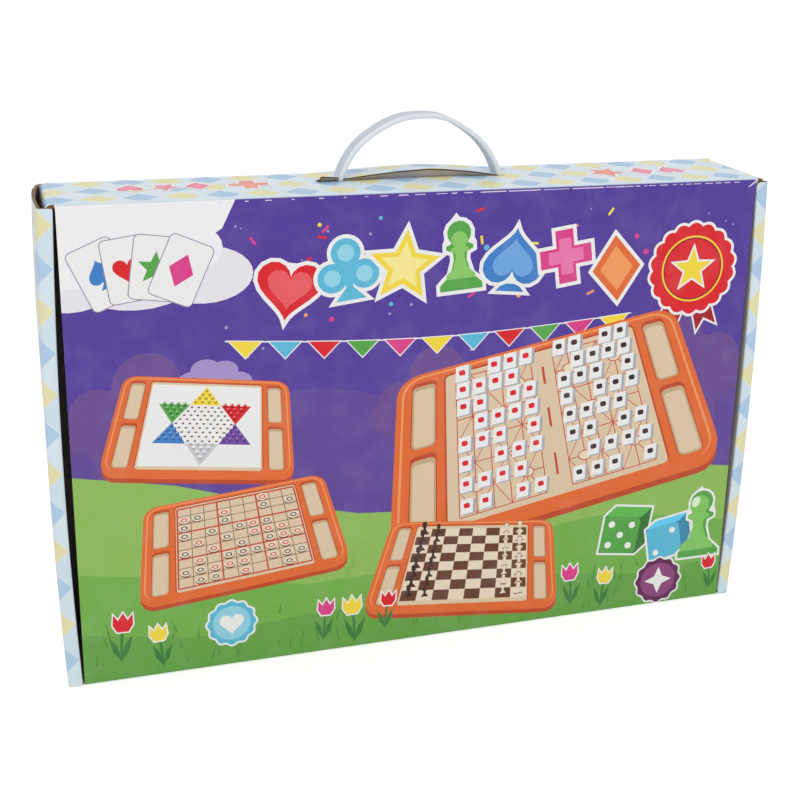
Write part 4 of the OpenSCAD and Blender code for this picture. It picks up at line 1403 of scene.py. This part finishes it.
def milkyPlastic():  # the web between the beads is thinner and greyer
    finish = plastic("milkyStrap", (232, 236, 242), (220, 225, 232), 0.36, 0.00001)
    aside = finish.calculate(finish.axes(finish.place())["Y"], ("SUBTRACT", strapMiddle * mm), "ABSOLUTE")
    webEnd = (strap["width"] / 2 - strap["bead"]) * mm
    finish.overlay(finish.spread(aside, webEnd, webEnd + 0.5 * mm, 1.0, 0.0), paint(*strap["web"]))
    finish.set({"Subsurface Weight": 0.25, "Subsurface Radius": (1.0, 1.0, 1.0), "Subsurface Scale": 0.002})
    return finish


strapBand = curvedSheet("strapBand", 110, len(strapProfile()), strapPoint)
useModifier(strapBand, "WELD", merge_threshold=0.00001)
turnFaces(strapBand, closed=True)
strapPiece = joinPieces([strapBand, strapAnchor(-1), strapAnchor(1)], "strapHandle")
strapPiece.data.materials.append(milkyPlastic().material)
finishPiece(strapPiece, "handle", ["handle_strap"], angle=50)
print("strap made")


# ---- finishes of the pieces that keep their CAD shape ----

starBoard = {
    "border": 15.8,  # outside the star's last holes
    "reach": 8,  # rows of holes from the middle to a point
    "holeR": 1.95, "ring": 0.45,
    "lift": 0.1,  # the print lies this far in front of the board
    "page": (240, 238, 230), "middle": (250, 248, 240),
}


def starBoardPrint():
    low, high = inMm(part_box("peg_board"))
    trayLow, trayHigh = inMm(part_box("game_tray"))
    middleZ, row = (trayLow.z + trayHigh.z) / 2, sin(radians(60))
    pitch = ((high.z - low.z) / 2 - starBoard["border"]) / (starBoard["reach"] * row)
    half = starBoard["reach"] // 2
    sheet = PrintSheet()
    wide, tall = high.x - low.x, high.z - low.z
    for edge, size, tone in ((1, 1, "page"), (9, 1, "line"), (9, 0.985, "page")):
        sheet.add(placed(roundedBox((wide - edge) * size, (tall - edge) * size, 4), 0, (low.z + high.z) / 2),
                  starBoard.get(tone, "tanDark"))

    def spots(*ends):  # distances in holes, and angles
        return placed([around(angle, pitch * distance) for distance, angle in ends], 0, middleZ)
    for k, colour in enumerate(pegInks):
        corners = spots((2 * half * 0.866 + 0.95, 60 * k + 30), (half + 0.3, 60 * k + 60), (half + 0.3, 60 * k))
        sheet.rim(corners, 0.7, "dark", "grey" if colour == "white" else colour)
    sheet.rim(spots(*[(half + 0.3, 60 * k) for k in range(6)]), 0.4, "dark", starBoard["middle"])
    span = range(-starBoard["reach"], starBoard["reach"] + 1)
    for q, r in [(q, r) for q in span for r in span]:
        if max(q, r, -q - r) <= half or min(q, r, -q - r) >= -half:
            x, z = pitch * (q + r / 2), middleZ + pitch * r * row
            sheet.disc(x, z, starBoard["holeR"] + starBoard["ring"], "brown", count=20)
            sheet.disc(x, z, starBoard["holeR"], None, count=20)
    lift = starBoard["lift"]
    piece = buildPrint("starPrint", sheet, lambda x, z: (x, low.y - lift, z), boardInk, (), lift * 0.9)
    finishPiece(piece, "carton", angle=30)


starBoardPrint()


def chequerWood(name):  # the lower board has a chequered side, with the squares' place taken from the board itself
    finish = woodGrain(name, (226, 200, 160), (208, 178, 136))
    low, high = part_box("chess_board")
    square = (high.z - low.z - 0.024) / 8
    axes = finish.axes(finish.place())
    cells, inside = [], 1.0
    for axis, middle in (("X", 0.0), ("Z", (low.z + high.z) / 2)):
        place = finish.calculate(axes[axis], ("SUBTRACT", middle), ("DIVIDE", square))
        cells.append(finish.calculate(place, "FLOOR"))
        inside = finish.calculate(place, "ABSOLUTE", ("LESS_THAN", 4.0), ("MULTIPLY", inside))
    dark = finish.calculate(cells[0], ("ADD", cells[1]), ("FLOORED_MODULO", 2.0), ("MULTIPLY", inside))
    finish.overlay(dark, paint(*inks["brown"]))
    return finish


discStacks = {"gap": 0.3, "ring": (0.7, 0.84)}  # room between stacks; the ring, in shares of the radius


def ringedWood(name, box, colour, shade, ring):  # discs in stacks, each with a coloured ring on its face
    finish = woodGrain(name, colour, shade)
    low, high = box
    radius = (high.y - low.y) / 2
    pitch = 2 * radius + discStacks["gap"] * mm
    axes = finish.axes(finish.place())
    across = finish.calculate(axes["X"], ("SUBTRACT", low.x), ("FLOORED_MODULO", pitch), ("SUBTRACT", radius))
    deep = finish.calculate(axes["Y"], ("SUBTRACT", low.y + radius))
    away = finish.calculate(across, ("MULTIPLY", across), ("ADD", finish.calculate(deep, ("MULTIPLY", deep))), "SQRT")
    first, last = [radius * share for share in discStacks["ring"]]
    within = finish.calculate(away, ("LESS_THAN", last))
    finish.overlay(finish.calculate(away, ("GREATER_THAN", first), ("MULTIPLY", within)), paint(*ring))
    return finish


kept = {  # each node's finish, and the radius of its softened edges
    "lid_panel": (greyLiner, 0.0),
    "tuck_flap": (greyLiner, 0.2), "left_inner_wall": (greyLiner, 0.2), "right_inner_wall": (greyLiner, 0.2),
    "game_tray": (plastic("orangeTray", (236, 108, 42), (226, 96, 34), 0.3, 0.00003), 0.6),
    "tray_bottom_board": (woodGrain("baseBoard", (222, 196, 158), (206, 176, 134)), 0.2),
    "tray_rivets": (plastic("whiteRivets", (238, 238, 232), (226, 226, 220)), 0.2),
    "chess_board": (chequerWood("chessWood"), 0.3),
    "peg_board": (woodGrain("pegWood", (232, 210, 174), (214, 186, 146)), 0.3),
    "chessmen_dark": (plastic("darkMen", (52, 30, 24), (36, 20, 16), 0.28), 0.15),
    "chessmen_light": (plastic("ivoryMen", (236, 224, 192), (222, 208, 172), 0.28), 0.15),
    "river_discs_red": (ringedWood("redDiscs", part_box("river_discs_red"), (214, 172, 122), (190, 146, 98),
                                   (196, 30, 30)), 0.35),
    "river_discs_black": (ringedWood("blackDiscs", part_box("river_discs_black"), (206, 164, 116), (182, 138, 92),
                                     (34, 28, 26)), 0.35),
    "number_discs": (woodGrain("numberDiscs", (226, 194, 146), (206, 170, 120)), 0.25),
    "army_tiles_red": (plastic("tilesRed", (240, 240, 234), (228, 228, 220)), 0.3),
    "army_tiles_black": (plastic("tilesBlack", (236, 237, 236), (224, 225, 224)), 0.3),
}
pegPaints = {
    "Red": ((208, 36, 34), (186, 24, 26)), "Yellow": ((244, 208, 48), (232, 190, 34)),
    "Green": ((44, 150, 66), (32, 130, 54)), "Blue": ((40, 88, 186), (30, 72, 164)),
    "White": ((240, 240, 236), (226, 226, 222)), "Purple": ((122, 58, 148), (102, 44, 128)),
}
for colourName, tones in pegPaints.items():
    kept["pegs_" + colourName.lower()] = (plastic("peg" + colourName, *tones, 0.25), 0.15)

for nodeName, (finish, rounding) in kept.items():
    node = frame["nodes"][nodeName]
    node.data.materials.clear()
    node.data.materials.append(finish.material)
    weld = node.modifiers.new("weld", "WELD")
    weld.merge_threshold = 0.00001
    if rounding:
        bevel = node.modifiers.new("softEdges", "BEVEL")
        bevel.width = rounding * mm
        bevel.segments = 2
        bevel.limit_method = "ANGLE"
        bevel.angle_limit = radians(40)
        bevel.use_clamp_overlap = True
    selectOnly(node)
    bpy.ops.object.shade_smooth_by_angle(angle=radians(40))
    node.select_set(False)
print("kept pieces finished")


# ---- floor, light ----

stageSet = {
    "floorSize": 60.0,
    "floor": (245, 245, 245),
    "floorGlow": 0.42,  # seen by the camera alone, so that the floor is white
    "fill": 0.68,
    "key": 10.0, "keyPlace": (-0.9, -1.3, 1.5),
    "side": 3.5, "sidePlace": (1.3, -1.1, 0.9),
    "lampSize": 1.4, "aim": (0, 0, 0.13),
}
bpy.ops.object.select_all(action="DESELECT")
bpy.ops.mesh.primitive_plane_add(size=stageSet["floorSize"], location=(0, 0, -0.0002))
floor = bpy.context.active_object
floor.name = "floor"
floorMaterial = bpy.data.materials.new("floor")
floorMaterial.use_nodes = True
tree = floorMaterial.node_tree
tree.nodes.remove(tree.nodes["Principled BSDF"])
diffuse = addNode(tree, "BsdfDiffuse", {"Color": (*paint(*stageSet["floor"]), 1)})
rays = addNode(tree, "LightPath").outputs
seen = calculate(tree, rays["Is Camera Ray"], ("MULTIPLY", stageSet["floorGlow"]))
glow = addNode(tree, "Emission", {"Strength": seen})
both = addNode(tree, "AddShader", {0: diffuse.outputs[0], 1: glow.outputs[0]})
tree.links.new(both.outputs[0], tree.nodes["Material Output"].inputs[0])
floor.data.materials.append(floorMaterial)

world = bpy.data.worlds.new("studio")
world.use_nodes = True
bpy.context.scene.world = world
tree = world.node_tree
backdrop = tree.nodes["Background"]
backdrop.inputs["Color"].default_value = (1, 1, 1, 1)
backdrop.inputs["Strength"].default_value = 1.0
fill = addNode(tree, "Background", {"Color": (1, 1, 1, 1), "Strength": stageSet["fill"]})
rays = addNode(tree, "LightPath").outputs
seen = calculate(tree, rays["Is Camera Ray"], ("MAXIMUM", rays["Is Glossy Ray"]),
                 ("MAXIMUM", rays["Is Transmission Ray"]))
mixed = addNode(tree, "MixShader", {0: seen, 1: fill.outputs[0], 2: backdrop.outputs[0]})
tree.links.new(mixed.outputs[0], tree.nodes["World Output"].inputs[0])


def softLamp(name, place, power):
    lampData = bpy.data.lights.new(name, "AREA")
    lampData.shape = "SQUARE"
    lampData.size = stageSet["lampSize"]
    lampData.energy = power
    lamp = bpy.data.objects.new(name, lampData)
    lamp.location = place
    lamp.rotation_euler = (Vector(stageSet["aim"]) - Vector(place)).to_track_quat("-Z", "Y").to_euler()
    bpy.context.scene.collection.objects.link(lamp)


softLamp("keyLight", stageSet["keyPlace"], stageSet["key"])
softLamp("fillLight", stageSet["sidePlace"], stageSet["side"])
bpy.context.scene.view_settings.view_transform = "Standard"
print("stage lit")
